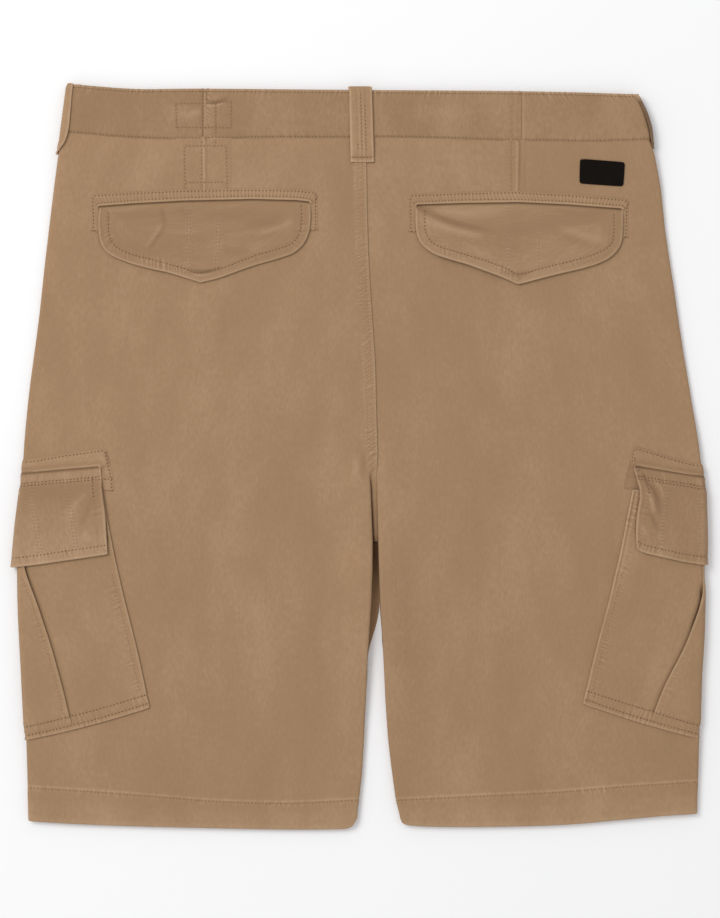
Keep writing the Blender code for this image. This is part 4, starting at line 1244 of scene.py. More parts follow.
# %% Facings over the back flaps
def make_back_facing(side):
    x, y, from_outer, from_inner, at = facing_grid(*path_of(BACK_FACINGS[side], 0.65), FACING_ROW)
    ends = np.minimum(at, at.max() - at)
    on_leg = ramp(26, 23, ends)
    relief = row_relief(-(from_outer - FACING_ROW), at, 1.0, pull=0.0)
    relief += row_relief(from_inner - FACING_EDGE_ROW, at, 1.4, pull=0) * (1 - on_leg)
    bars = ladder(at, 1.0 + side) * ramp(0.5, 1.6, from_outer) * ramp(0.7, 1.7, from_inner)
    relief += both(bars, 0.18, 0.12) * (1 - 0.5 * on_leg)
    relief += edge_relief(from_inner, rim=0.18, bead=0.3) * (1 - on_leg)
    stand = stood(FACING_STAND * ramp(-0.6, 1.6, from_outer) * (1 - 0.65 * on_leg), ends, from_outer)
    relief[1] -= 0.12 * bell(from_outer - 0.1, 0.7)
    relief[1] -= 0.25 * bell(ends, 0.8)
    points, name = laid(x, y, stand + relief[0]), f"pocket_facing_{WORDS[side]}_cloth"
    keep_row(name, points, -BACK, from_outer, FACING_ROW, axis=1, along=at[:, 0])
    top = on_leg[:, 5] < 0.5
    keep_row(name, points[top], -BACK, from_inner[top], FACING_EDGE_ROW, axis=1, along=at[top, 0])
    for cross in (FACING_END_ROW, at.max() - FACING_END_ROW):
        keep_row(name, points, -BACK, at, cross)
    grid = turned(cloth_grid(points, relief[1]), "last_col", 1.3, 1.4, -BACK, -0.2)
    return cloth(name, grid, TRIM_TWILL, -BACK)


for side, word in WORDS.items():
    piece = make_back_facing(side)
    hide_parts("pocket_facing_" + word)

# %% [markdown]
# ## Back pocket flaps
# A flap is two layers sewn together and turned, so its edge is a full rolled fold with a row of
# stitches 6 mm inside it. A grid of rows from left to right would be coarse where the outline
# bends. Here each grid row starts on the outline and ends on a line down the flap's middle, so
# every cell follows the outline and the edge can be rolled as one.

# %% Flap outlines, rows of stitches and creases
FLAP_OUTLINES = {
    LEFT: ((-197.7, 189.8), (-198.6, 180), (-198.4, 172.1), (-196.7, 162.6), (-192.4, 155.6),
        (-184.9, 150.8), (-171.3, 145.8), (-157.8, 142.3), (-144.2, 139.3), (-131.9, 135.5),
        (-124.5, 133.1), (-120.5, 132), (-116, 133), (-105.1, 135.8), (-90.6, 141.2), (-76.8, 145.8),
        (-61, 150.3), (-49.5, 154.6), (-41.8, 161.6), (-37.6, 171.1), (-36.3, 182), (-36.7, 193.4)),
    RIGHT: ((43.3, 190.8), (43, 181), (43.6, 172.4), (45.3, 165.6), (49.1, 159.9), (57, 154.2),
        (68.4, 150), (82, 146.1), (96.1, 141), (108, 136.6), (116, 133.2), (120.4, 131.3), (125.5, 132),
        (142.1, 136.4), (156, 139.8), (169.8, 143), (181, 146.4), (190.4, 151), (197, 157.7), (200, 165),
        (200.8, 176), (200.7, 188)),
}
FLAP_TOP_TUCK = 1.2  # the flap's top runs on this far under its facing
FLAP_SPINES = {
    LEFT: ((-172, 174), (-118, 168), (-62, 177)),
    RIGHT: ((70, 173), (122, 167), (174, 172)),
}
FLAP_INSET = {LEFT: 0.7, RIGHT: 0.3}  # a folded edge is rolled, so its grid ends this far inside
# X, and how far the flap lifts off the panel there
FLAP_LIFT = {
    LEFT: ((-185, 0.5), (-150, 0.9), (-120, 0)),
    RIGHT: ((50, 0.9), (66, 2.2), (105, 2), (125, 0.6), (190, 0.4)),
}
# X, and how strong the puckers beside the row of stitches are there
FLAP_PULL = {
    LEFT: ((-200, 0.06), (-188, 0.12), (-178, 0.24), (-134, 0.24), (-122, 0.08), (-60, 0.10),
        (-36, 0.06)),
    RIGHT: ((43, 0.05), (58, 0.10), (72, 0.17), (112, 0.15), (125, 0.10), (180, 0.08), (200, 0.05)),
}
FLAP_INSIDE = (0.0, 0.4, 0.8, 1.3, 1.9, 2.6, 3.4, 4.3, 5.2, 6.0, 6.7, 7.5, 8.6, 10.0, 12.0)
FLAP_ROWS = {
    LEFT: ((-190.6, 186), (-190, 169.4), (-186.3, 161.2), (-179.9, 156.6), (-171.3, 153.3),
        (-159.1, 150.2), (-144.2, 146.2), (-131.9, 142.7), (-121, 139.6), (-101.9, 144), (-89.3, 149),
        (-76.8, 153.4), (-60.3, 158.1), (-51.2, 162), (-45.6, 168.6), (-43.6, 178), (-43.8, 190.5)),
    RIGHT: ((50.2, 187.5), (50.4, 173), (54, 164.6), (61, 159.8), (71, 156.4), (97, 148.4), (112, 143),
        (121.7, 138.8), (141, 143.6), (168, 150.2), (181, 154.4), (189.4, 159.2), (193.4, 166),
        (194, 185)),
}
FLAP_UPRIGHTS = {
    LEFT: (((-131.6, 194), (-130.6, 172), (-131.4, 143.5)), ((-129.2, 194), (-128, 172), (-129.2, 143)),
        ((-107.6, 194), (-108.6, 160), (-109.6, 142.5)), ((-105.2, 194), (-106.2, 160), (-107.4, 143))),
    RIGHT: (((112.4, 193), (112.8, 165), (113.2, 143)), ((137.4, 192), (137, 165), (136.4, 143.4))),
}
FLAP_CREASES = {
    LEFT: ((((-130, 142.2), (-124, 140.6), (-117, 140.2), (-110, 141.6), (-104, 143.8)), 1.2, -1.3),
        (((-127, 138), (-120, 137.6), (-112, 139.2)), 1, 0.7),
        (((-148, 178), (-154, 169), (-162, 158)), 1.8, 0.75),
        (((-145, 180), (-152, 168), (-160, 156)), 2.2, -0.6),
        (((-150, 190), (-148, 182), (-148, 176)), 1.8, -0.7),
        (((-136, 189), (-131, 184), (-127, 187)), 2.4, -0.5),
        (((-49, 180), (-62, 173), (-80, 169)), 2.4, 0.6),
        (((-54, 184), (-68, 178), (-88, 176)), 3.4, -0.45),
        (((-104, 157), (-92, 155), (-82, 160)), 3, -0.5), (((-104, 153), (-86, 158), (-66, 164)), 3, 0.3),
        (((-186, 183), (-160, 184), (-146, 181)), 3, -0.3),
        (((-120, 186), (-95, 182), (-70, 185)), 3.6, -0.3)),
    RIGHT: ((((36, 195), (50, 186.6), (64, 180.6), (79, 175.8), (106, 170.2)), 1.9, -1),
        (((34, 194), (46, 189.5), (60, 185)), 1.6, -0.7),
        (((46, 181), (60, 175.6), (78, 170.5), (98, 166)), 3.2, 0.7),
        (((58, 189), (84, 184), (112, 186)), 3.2, 0.4), (((150, 176), (170, 168), (189, 164)), 3.4, 0.4),
        (((146, 171), (168, 163), (186, 158)), 3, -0.3),
        (((110, 141), (121, 137.6), (134, 140.6)), 1.4, -0.7),
        (((72, 166), (86, 158), (103, 151)), 3, 0.3), (((150, 187), (172, 184), (190, 184)), 3, -0.25)),
}

# %% Grid inside a flap's outline
def facing_edge(side):
    """The inner edge of a facing's level part, from left to right"""
    return np.array(BACK_FACINGS[side])[3:-3, 2:]


def flap_outline(side):
    """The closed outline, from the facing's left corner down and round to its right corner"""
    lower = rounded(FLAP_OUTLINES[side], 1.1)
    top = rounded(facing_edge(side)[::-1], 1.1) + (0, FLAP_TOP_TUCK)
    top = top[(top[:, 0] < lower[-1, 0] - 0.6) & (top[:, 0] > lower[0, 0] + 0.6)]
    closed = np.vstack([lower, top, lower[:1]])
    return spread(closed, int(lengths(closed)[-1])), lengths(lower)[-1]


def rows_to_spine(outline, spine, inside_steps):
    """Grid places from a closed outline inwards to a line down the piece's middle"""
    a, b = spine[0], spine[-1]
    share = np.clip((outline[:, 0] - a[0]) / (b[0] - a[0]), 0, 1)
    share = 0.5 - 0.5 * np.cos(math.pi * share)
    foot = read_along(spine, lengths(spine) / lengths(spine)[-1], share)
    reach = np.linalg.norm(foot - outline, axis=1)
    steps = np.array(inside_steps)[None, :]
    rest = np.linspace(0, 1, 15)[1:]
    inside = np.hstack([np.broadcast_to(steps, (len(outline), steps.shape[1])),
                        steps[0, -1] + (reach[:, None] - steps[0, -1]) * rest])
    spots = outline[:, None] + (foot - outline)[:, None] * (inside / reach[:, None])[..., None]
    return spots[..., 0], spots[..., 1]


print("the left flap's lower edges:", round(flap_outline(LEFT)[1]), "mm long")

# %% Back pocket flaps
def make_back_flap(side):
    outline, lower_length = flap_outline(side)
    x, y = rows_to_spine(outline, rounded(FLAP_SPINES[side], 4), np.array(FLAP_INSIDE) + FLAP_INSET[side])
    inside = abs(beside(outline, x, y)[0]) - FLAP_INSET[side]
    lower = ramp(lower_length + 2, lower_length - 2, lengths(outline))[:, None]
    relief = edge_relief(inside, rim=0.19, bead=0.3) * lower
    pull = look_up(FLAP_PULL[side], x)
    relief += rows_relief([FLAP_ROWS[side]], x, y, 1.0 + side, pull=pull, pitch=2.8, reach=3.2)
    for line in FLAP_UPRIGHTS[side]:
        relief += faint_row(*beside(rounded(line, 6), x, y), line[0][0])
    folds = creased(FLAP_CREASES[side], x, y)
    # The creases' ridges are rubbed pale, and shade is painted into their troughs
    relief += both(folds, 1, 0.22)
    below_facing = look_up(facing_edge(side), x) - y
    stand = 0.5 + 1.1 * ramp(0, 9, below_facing) + 0.25 * ramp(2, 7, inside)
    stand += look_up(FLAP_LIFT[side], x) * ramp(10, 35, below_facing)
    # Painted shadow under the facing's lower edge; the right flap is also made a little paler
    relief[1] -= 0.85 * bell(below_facing - 0.8, 0.8) - (0.03 if side == RIGHT else 0.0)
    grid = cloth_grid(laid(x, y, np.maximum(stand + relief[0], 0.2)), relief[1])
    grid = turned(grid, "first_col", 1.5, 2.6, BACK, -0.35)
    return cloth(f"pocket_flap_{WORDS[side]}_cloth", grid, FLAP_TWILL, BACK, loop=True)


for side, word in WORDS.items():
    piece = make_back_flap(side)
    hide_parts("pocket_flap_" + word)

# %% [markdown]
# ## Cargo pockets
# Each cargo pocket is one piece that goes round the side of the leg, so that half of it shows from
# either side. A box pleat lies over the side seam. It is narrow under the flap and opens towards
# the bottom, and its folded edge stands free over the layer below. The grid goes once round the
# pocket, and at each edge of the pleat its columns double back under the fold, as the cloth does.

# %% Pocket tables
# Down a pocket: Y at the straight edge and at the side seam, reach of that edge, half the pleat
POCKET_LINES = {
    LEFT: ((-25.1, -26, 61.6, 2), (-53.2, -55.5, 67, 2.2), (-80.2, -84.2, 73, 4.4),
        (-109.1, -112.1, 79.4, 14.5), (-139.5, -145.5, 86.2, 24), (-166.1, -180.5, 91, 31.5),
        (-190.6, -215.5, 94.9, 37.3)),
    RIGHT: ((-25.1, -26, 53.6, 2.2), (-53.2, -55.5, 58.9, 2.2), (-80.2, -84.2, 64.2, 2.2),
        (-104, -110, 70, 2.2), (-139.5, -145.5, 78.7, 14.2), (-166.1, -180.5, 84, 29.8),
        (-187.5, -214.5, 88.9, 40.4)),
}
# Across the pleat's edge: distance inwards from it, and height above the leg
PLEAT_FOLD = ((-3.4, 2.45), (-1.9, 2.50), (-1, 2.62), (-0.4, 2.60), (-0.05, 2.35), (0, 2.05),
    (-0.3, 1.80), (-1.3, 1.65), (-2.2, 1.50), (-1.3, 1.25), (-0.2, 1.15), (0.7, 1.2), (2, 1.35), (4, 1.5))
POCKET_HIGH, POCKET_LOW = 2.4, 1.5
POCKET_ROWS = (3.0, 9.6)  # the two rows of stitches, above the bottom edge
# Share of the depth where the pleat is sewn flat
PLEAT_END = {LEFT: (0.966, 0.984), RIGHT: (0.938, 0.958)}
POCKET_SAG = {LEFT: 1.5, RIGHT: 1.3}  # the bottom edge hangs this far below a straight line
# Y, and how much nearer the pocket lies to the leg at the side fold
POCKET_PRESS = {
    LEFT: ((-160, 0.5), (-120, 0)),
    RIGHT: ((-215, 1.4), (-190, 1.2), (-171, 0.8), (-150, 0.2), (-135, 0)),
}
# Y, distance of a flap's edge from the side seam, and how dark the pocket is beside it
FLAP_SHADOW = {
    LEFT: ((-68, 66.9, 0), (-62, 66.3, 0.5), (-40, 63.4, 0.5), (-28, 61.4, 0.5)),
    RIGHT: ((-62, 51, 0), (-55, 51, 0.45), (-38, 49.2, 0.45), (-27, 48.2, 0.45)),
}
# Creases: distance from the side seam and Y
POCKET_CREASES = {
    LEFT: ((((60, -92), (68, -120), (72, -150)), 6, 0.35), (((40, -100), (52, -150)), 7, -0.3),
        (((50, -150), (60, -185)), 6, 0.25)),
    RIGHT: ((((24, -92), (40, -120), (52, -170)), 7, 0.3), (((44, -90), (58, -130)), 6, -0.3)),
}
# How dark the slit under the pleat's fold is, down the pocket
SLIT_SHADE = {
    LEFT: ((0.3, 0.9), (0.45, 0.6), (0.75, 0.35), (0.93, 0.25), (0.97, 0.1)),
    RIGHT: ((0.37, 0), (0.42, 1.3), (0.5, 1.3), (0.58, 0.6), (0.93, 0.3), (0.97, 0.1)),
}
print("the pocket's pleat stands", POCKET_HIGH, "mm high, its sides", POCKET_LOW, "mm")

# %% Helpers for pieces that go round a leg
def columns_down(table, share, count):
    """A table's columns at a share of the piece's depth, which is measured at the side seam. They
    are rounded over count places"""
    folds = np.array(table)[:, 1]
    at, even_at = (folds - folds[0]) / (folds[-1] - folds[0]), np.linspace(0, 1, count)
    return [np.interp(share, even_at, smooth(np.interp(even_at, at, values), 2)) for values in zip(*table)]


def edged(name, points, tone, thickness, finish, side):
    """A piece that goes round the leg, with its lower edge and then its two straight edges rolled"""
    grid = cloth_grid(points, tone)
    for edge in ("last_row", "first_col", "last_col"):
        grid = turned(grid, edge, thickness, 3.0, side, -0.1, corners="col" in edge)
    return cloth(name, grid, finish, side)

# %% Cargo pockets
def make_cargo_pocket(side):
    half = HALVES[side]
    share = np.concatenate([even(0, 0.965, 0.0059), 1 - EDGE_STEPS[::-1] / 190.0])[:, None]
    y_edge, y_fold, reach, pleat = columns_down(POCKET_LINES[side], share, 61)
    extra = half.way_round(y_fold)
    girth_edge, fold = reach + extra, np.array(PLEAT_FOLD)
    closed = ramp(*PLEAT_END[side], share)
    fold_g = fold[::-1, 0] * (1 - closed) + np.linspace(fold[-1, 0], fold[0, 0], len(fold)) * closed
    outer_part = girth_edge - EDGE_STEPS
    between = outer_part[:, -1:] + (pleat + fold[-1, 0] - outer_part[:, -1:]) * np.linspace(0, 1, 60)[1:]
    middle = (pleat + fold[0, 0]) * np.linspace(1, 0, 30)[1:]
    one_side = np.hstack([outer_part, between, pleat + fold_g[:, 1:], middle])
    low_count = outer_part.shape[1] + between.shape[1]
    stand = np.concatenate([np.full(low_count, POCKET_LOW), fold[::-1, 1][1:], np.full(29, POCKET_HIGH)])
    g = np.hstack([one_side, -one_side[:, -2::-1]])
    out = np.concatenate([stand, stand[-2::-1]]) + 0 * g
    part = np.clip(abs(g) / girth_edge, 0, 1)
    sag = POCKET_SAG[side] * np.sin(math.pi * part)
    y = y_fold + (y_edge - y_fold) * part - sag * ramp(0.6, 1, share)
    in_edge, above = girth_edge - abs(g), y - y[-1:]
    relief = edge_relief(np.minimum(in_edge, above), rim=0.18, bead=0.28)
    for row, seed in zip(POCKET_ROWS, (1.0, 1.7)):
        relief += row_relief(above - row, g, seed, pull=0.16, pitch=2.8, reach=3)
    shadow_y, shadow_g, dark = zip(*FLAP_SHADOW[side])
    beside_flap = abs(g) - extra - np.interp(y, shadow_y, shadow_g) - 0.6
    relief[1] -= np.interp(y, shadow_y, dark) * bell(beside_flap, 0.9)
    uneven = 0.6 + 0.6 * ripple(y + 1.7 * in_edge, 3.7, 5)
    waves = ripple(y + 0.4 * in_edge, 2.7, 2.0 + side) * uneven
    beside_edge = waves * bell(in_edge - 6, 3.2)
    beside_fold = waves * bell(abs(g) - pleat + 4.5, 2.4) * ramp(6, 12, pleat)
    relief += 0.24 * beside_edge + 0.18 * beside_fold
    if side == RIGHT:
        double = ramp(-112, -88, y)
        relief += both(bell(in_edge - 2, 0.7), -0.30, -0.10) * double
        relief += both(bell(in_edge - 3.4, 0.8), 0.2, 0.07) * double
        relief += row_relief(in_edge - 2.6, y, 4, pull=0.14, pitch=2.8) * ramp(-56, -54, y)
    over = abs(g) - pleat
    slit = bell(over - 0.5, 1.2) * (out < 1.8)
    relief[1] -= slit * look_up(SLIT_SHADE[side], share) * (1 - closed)
    relief[1] += 0.14 * bell(over + 0.5, 0.8) * (out > 1.9) * (1 - closed)
    loose = (1 - closed) * (0.4 + 0.6 * ramp(7, 12, above))
    if side == RIGHT:
        loose *= 0.3 + 0.7 * ramp(-92, -101, y)
    press = look_up(POCKET_PRESS[side], y_fold)
    out = POCKET_LOW + (out - POCKET_LOW) * loose - press * bell(g, 6)
    relief += both(bell(g, 0.8), -0.3, -0.1)
    relief[0] += creased(POCKET_CREASES[side], abs(g), y)
    out = np.where(g < 0, np.minimum(out + relief[0], out + 0.1), out + relief[0])
    points, name = wrapped(side, g, y, out), f"cargo_pocket_{WORDS[side]}_cloth"
    for row in POCKET_ROWS:
        keep_row(name, points, side, -above, -row)
    shown = np.ix_((y[:, 5] < -88.0) & (above[:, 5] > 12.0), range(one_side.shape[1]))
    keep_row(name + "_worn_rows", points[shown], side, in_edge[shown], 4.5, axis=1)
    if side == LEFT:
        keep_row(name + "_worn_rows", points[shown], side, (pleat - abs(g))[shown], 3.9, axis=1)
    return edged(name, points, relief[1], 1.2, POCKET_TWILL, side)


for side, word in WORDS.items():
    piece = make_cargo_pocket(side)
    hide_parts("cargo_pocket_" + word)

# %% [markdown]
# ## Cargo flaps
# The flap hangs over the pocket's mouth. Its top edge is sewn down with a row of stitches, and its
# other edges are turned folds with a row inside them. Below its top row it stands over the pocket,
# so its lower edge casts a shadow. Washing has curled the straight edge of the right flap inwards.

# %% Flap tables
# Down a flap: Y at the straight edge and at the side seam, reach of that edge, height above the
# leg, and how far the flap's fold stands off at the side
CARGO_FLAPS = {
    LEFT: ((-6.2, -11.4, 59.4, 1, -0.4), (-9, -14, 59.6, 1.9, -0.5), (-16.3, -19.5, 60.4, 1.7, -0.7),
        (-24.1, -26.7, 61, 3, -0.8), (-45, -52, 64.4, 3.5, 1.2), (-73.9, -83.8, 66.7, 3.8, 3.3)),
    RIGHT: ((-5.6, -13.9, 51.9, 1, 0), (-9.6, -16.6, 51.6, 1.9, 0), (-15.5, -19.8, 50.6, 1.7, 0),
        (-24.1, -26.7, 48.2, 3, 0), (-31, -36, 47.9, 3.2, 0), (-38, -45, 49.2, 3.4, 0.1),
        (-46.6, -54, 50.6, 3.6, 0.2), (-56, -65, 51.2, 3.7, 0.3), (-69.3, -82.6, 50.7, 3.7, 0.3)),
}
# Upright rows of stitches: share of the flap's reach at its top and at its lower edge
CARGO_UPRIGHTS = {
    LEFT: ((0.095, 0.255), (0.135, 0.295), (0.545, 0.655), (0.58, 0.69)),
    RIGHT: ((0.57, 0.64), (0.60, 0.67), (0.06, 0.05), (0.10, 0.09)),
}
# Share of the reach, and how far the lower edge hangs below a straight line there
CARGO_SAG = {
    LEFT: ((0, 0), (1, 0)),
    RIGHT: ((0, -0.6), (0.1, 0), (0.34, 1.2), (0.66, 1.7), (0.85, 2), (0.94, 1.7), (1, 0.2)),
}
FLAP_TOP_ROWS = (9.2, 11.2)  # rows of stitches, from the top edge
FLAP_ROW_IN = {LEFT: 6.7, RIGHT: 5.6}  # the lower row, from the lower edge
FLAP_SIDE_ROW = 6.4  # and the upright ones, from the straight edges
# Creases: distance from the side seam and Y
CARGO_FLAP_CREASES = {
    LEFT: ((((54, -24), (44, -36), (36, -52)), 3, 0.5), (((57, -30), (50, -48), (47, -60)), 3, -0.4),
        (((50, -56), (54, -66)), 2.5, 0.35), (((10, -30), (40, -28)), 5, -0.3)),
    RIGHT: ((((48, -12), (43, -20), (38, -26), (35, -36), (33, -46)), 1.7, -1.2),
        (((45, -25), (41, -33), (38, -44)), 1.6, 0.9), (((43, -40), (38, -50), (35, -58)), 1.6, -0.8),
        (((40, -16), (34, -23), (31, -34)), 1.6, 0.8), (((47, -52), (44, -62)), 1.6, 0.6),
        (((20, -30), (8, -40)), 5, 0.25)),
}
# Share of the depth, and how much the flap's colour is lightened there; below 0 it is darkened
FLAP_SHADE = {
    LEFT: ((0, 0.08), (0.11, 0.10), (0.17, -0.09), (0.5, 0.03), (0.8, 0.10)),
    RIGHT: ((0.11, 0), (0.17, -0.03), (0.5, 0), (0.8, 0.02)),
}

# %% Cargo flaps
def make_cargo_flap(side):
    half = HALVES[side]
    share = np.concatenate([EDGE_STEPS / 72, even(0.10, 0.88, 0.0135), 1 - EDGE_STEPS[::-1] / 72])[:, None]
    y_edge, y_fold, reach, lift, flare = columns_down(CARGO_FLAPS[side], share, 81)
    girth_edge = reach + half.way_round(y_fold)
    inside = girth_edge - EDGE_STEPS
    rest = inside[:, -1:] * np.linspace(1, 0, 56)[1:]
    one_side = np.hstack([inside, rest])
    g = np.hstack([one_side, -one_side[:, -2::-1]])
    part = abs(g) / girth_edge
    y = y_fold + (y_edge - y_fold) * part - look_up(CARGO_SAG[side], part) * ramp(0.3, 1, share)
    in_edge, above, below = girth_edge - abs(g), y - y[-1:], y[:1] - y
    relief = edge_relief(np.minimum(in_edge, above), rim=0.20, bead=0.35)
    relief += edge_relief(below - 2.5, rim=0.10, bead=0.25)
    row_in = FLAP_ROW_IN[side]
    relief[1] += look_up(FLAP_SHADE[side], share)
    relief += row_relief(below - FLAP_TOP_ROWS[0], g, 1, pull=0.10, pitch=2.8, depth=0.45)
    relief += row_relief(below - FLAP_TOP_ROWS[1], g, 1.4, pull=0.10, pitch=2.8)
    relief += row_relief(above - row_in, g, 2, pull=0.16, pitch=2.8, depth=0.4)
    upright = row_relief(in_edge - FLAP_SIDE_ROW, y, 3, pull=0.09, pitch=2.8, depth=0.15)
    relief += upright * ramp(row_in, row_in + 3, above)
    uprights = [(part - (top + (low - top) * share)) * girth_edge for top, low in CARGO_UPRIGHTS[side]]
    for number, off in enumerate(uprights):
        relief += faint_row(off, y, number)
    folds = creased(CARGO_FLAP_CREASES[side], abs(g), y)
    # The creases' ridges are rubbed pale, and shade is painted into their troughs
    relief += both(folds, 1, 0.2)
    # Painted shadow under the facing's lower edge
    relief[1] -= 0.7 * bell(below - 1.8, 1.1)
    out = lift + np.where(g < 0, np.minimum(relief[0], 0.0), relief[0])
    points = wrapped(side, g, y, out)
    points[..., 0] += side * flare * bell(g, 9)
    name = f"cargo_flap_{WORDS[side]}_cloth"
    for row in FLAP_TOP_ROWS:
        keep_row(name, points, side, below, row)
    keep_row(name, points, side, -above, -row_in)
    between = (above[:, 20] > row_in) & (below[:, 20] > 10.0)
    for off in uprights:
        keep_row(name + "_uprights", points[between, :60], side, off[between, :60], 0.0, axis=1)
    high = (above[:, 20] > 45.0) & (above[:, 20] < 62.0)
    for half_grid in (slice(None, 50), slice(-50, None)):
        keep_row(name, points[high, half_grid], side, in_edge[high, half_grid], FLAP_SIDE_ROW, axis=1)
    return edged(name, points, relief[1], 1.7, FLAP_TWILL, side)


for side, width in ((LEFT, 0.132), (RIGHT, 0.102)):
    piece = make_cargo_flap(side)
    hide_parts("cargo_flap_" + WORDS[side])

# %% [markdown]
# ## Cargo facings
# The facing over a cargo flap is made like a back pocket's facing, but it goes round the side of the
# leg, and its two short ends come down beside the flap.

# %% Tables of the cargo facings
# Along a facing: distance from the side fold and Y of the outer border, then of the inner edge
CARGO_FACINGS = {
    LEFT: ((71, -27.6, 59.6, -27.6), (70.2, -17.4, 58.9, -17.4), (67.4, -6.9, 58.4, -9.8),
        (63.4, 4.8, 58.4, -7.2), (60.6, 6.2, 57.2, -7.2), (31, 2.2, 31, -9.4), (8, -1.9, 8, -11.6),
        (0, -2.4, 0, -12.4)),
    RIGHT: ((61.2, -25.6, 47.8, -25.6), (58.3, -14, 48.3, -14), (53.9, -2.4, 48.9, -10),
        (49.9, 7.4, 51.5, -7.6), (46.9, 7.4, 48.1, -6.8), (26, 0.6, 26, -10.8), (8, -4.4, 8, -13.8),
        (0, -5.4, 0, -15)),
}
CARGO_FACING_CREASES = {
    LEFT: ((((44, 1), (38, -4)), 2.4, -0.5), (((36, 1), (30, -4)), 3, 0.3),
        (((66, -17), (63, -18)), 1.2, -0.6)),
    RIGHT: ((((46, -2), (36, -5), (26, -6)), 2.8, -0.6), (((52, -3), (50, -8)), 1.4, -0.5)),
}
CARGO_FACING_ROW = 2.0  # stitches, this far in from the outer border
CARGO_FACING_BARS = (1.6, 10.5)  # rows of stitches across each lower end
# Height at the side fold, and how much more it is on the flat of the leg
CARGO_FACING_STAND = {LEFT: (0.5, 1.2), RIGHT: (1.0, 0.7)}

# %% Cargo facings
def make_cargo_facing(side):
    half = HALVES[side]
    outer, inner = path_of(CARGO_FACINGS[side], 0.8)
    outer, inner = (np.vstack([line, line[-2::-1] * (-1, 1)]) for line in (outer, inner))
    inward, y, from_outer, from_inner, at = facing_grid(outer, inner, CARGO_FACING_ROW)
    g = inward + np.sign(inward) * half.way_round(y) * ramp(0, 8, abs(inward))
    relief = row_relief(-(from_outer - CARGO_FACING_ROW), at, 1.0, pull=0.08, pitch=2.8, reach=2.4)
    crown = np.sin(math.pi * np.clip(from_outer / (from_outer + from_inner), 0, 1)) ** 0.7
    ends = np.minimum(at, at.max() - at)
    on_leg = ramp(24, 19, ends)
    relief += edge_relief(from_inner, rim=0.14, bead=0.15) * (1 - on_leg)
    for bar in CARGO_FACING_BARS:
        relief += row_relief(ends - bar, from_outer, 2, pull=0.03)
    relief[0] += creased(CARGO_FACING_CREASES[side], abs(inward), y) + 0.4 * crown * (1 - on_leg)
    relief[1] += 0.06 if side == LEFT else -0.14 * on_leg
    at_fold, more = CARGO_FACING_STAND[side]
    stand = (at_fold + more * ramp(2, 14, abs(inward))) * ramp(-0.6, 2, from_outer)
    stand = stood(stand * (1 - 0.6 * on_leg), ends, from_outer)
    relief[1] -= 0.16 * bell(from_inner - 2.6, 1.8) + 0.12 * bell(from_outer - 0.1, 0.7)
    out = np.where(g < 0, np.minimum(stand + relief[0], stand), stand + relief[0])
    points, name = wrapped(side, g, y, out), f"cargo_facing_{WORDS[side]}_cloth"
    sewn = (on_leg[:, 5] < 0.5) | (side == LEFT)  # the right one's thread is worn off its legs
    keep_row(name, points[sewn], -side, from_outer[sewn], CARGO_FACING_ROW, axis=1, along=at[sewn, 0])
    if side == LEFT:
        for bar in (*CARGO_FACING_BARS, *(at.max() - bar for bar in CARGO_FACING_BARS[::-1])):
            keep_row(name, points, -side, at, bar)
    grid = turned(cloth_grid(points, relief[1]), "last_col", 1.5, 1.6, -side, -0.25)
    return cloth(name, grid, TRIM_TWILL, -side)


for side, length in ((LEFT, 0.190), (RIGHT, 0.165)):
    piece = make_cargo_facing(side)
    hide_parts("cargo_facing_" + WORDS[side])

# %% [markdown]
# ## Dart seams below the waistband
# Above the left back pocket a seam runs down between two rows of stitches, with a small
# reinforcement sewn in behind it, and there is a plainer seam above the right pocket. Both show as
# fine dents. Each is a small fine grid laid on the panel, and its borders sink into it.

# %% Dart seams
DARTS = {
    LEFT: {"x": (-141.5, -95.5), "seam": ((-117.9, 241.0), (-117.6, 195.0)),
           "rows": (((-119.3, 240.0), (-119.3, 203.0)),
                    ((-132.6, 235.8), (-100.8, 236.0)), ((-132.6, 235.8), (-132.0, 203.0)),
                    ((-132.4, 208.2), (-100.3, 208.6)), ((-100.8, 236.0), (-100.0, 203.0)),
                    ((-108.7, 240.0), (-108.4, 235.8)))},
    RIGHT: {"x": (110.0, 128.5), "seam": ((120.4, 238.0), (120.0, 198.0)),
            "rows": (((115.6, 240.0), (116.2, 202.0)),)},
}


def make_dart(side):
    dart = DARTS[side]
    x, y = np.meshgrid(even(*dart["x"], 0.8), even(243, 199, 0.85))
    inside = np.minimum(x - dart["x"][0], dart["x"][1] - x)
    relief = rows_relief(dart["rows"], x, y, 2, pull=0.07, depth=0.26, reach=2)
    off, at = beside(np.array(dart["seam"]), x, y)
    relief += both(bell(off, 0.9), 0.35, 0.16)
    relief -= both(bell(off - 2.1, 0.6), 0.3, 0.16 if side == LEFT else 0.34)
    slanted = ripple(at + 0.8 * x, 3.4, 3) * bell(x - dart["seam"][0][0] + 2.4 * side, 2.4)
    relief += both(slanted, 0.15, 0.12)
    if side == LEFT:
        relief[0] += creased(((((-131, 224), (-124, 221), (-117, 221)), 4.0, 0.3),
                              (((-112, 232), (-106, 222), (-104, 212)), 4.0, -0.25)), x, y)
    out = 0.25 * ramp(0, 5, inside) - 0.35 * ramp(1.5, 0, inside)
    relief *= ramp(0.5, 3, inside)
    grid = cloth_grid(laid(x, y, out + relief[0]), relief[1])
    return cloth("dart_seam_" + WORDS[side], grid, BODY_TWILL, BACK)


for side, width in ((LEFT, 0.046), (RIGHT, 0.020)):
    dart = make_dart(side)

# %% [markdown]
# ## Patch and button
# A small patch of black coated leather is sewn on above the right back pocket. It is bare. The
# waist button is on the front of the waistband, so it is under the shorts here: a horn-coloured
# disc with a rim, a dished middle and four holes, held by thread.

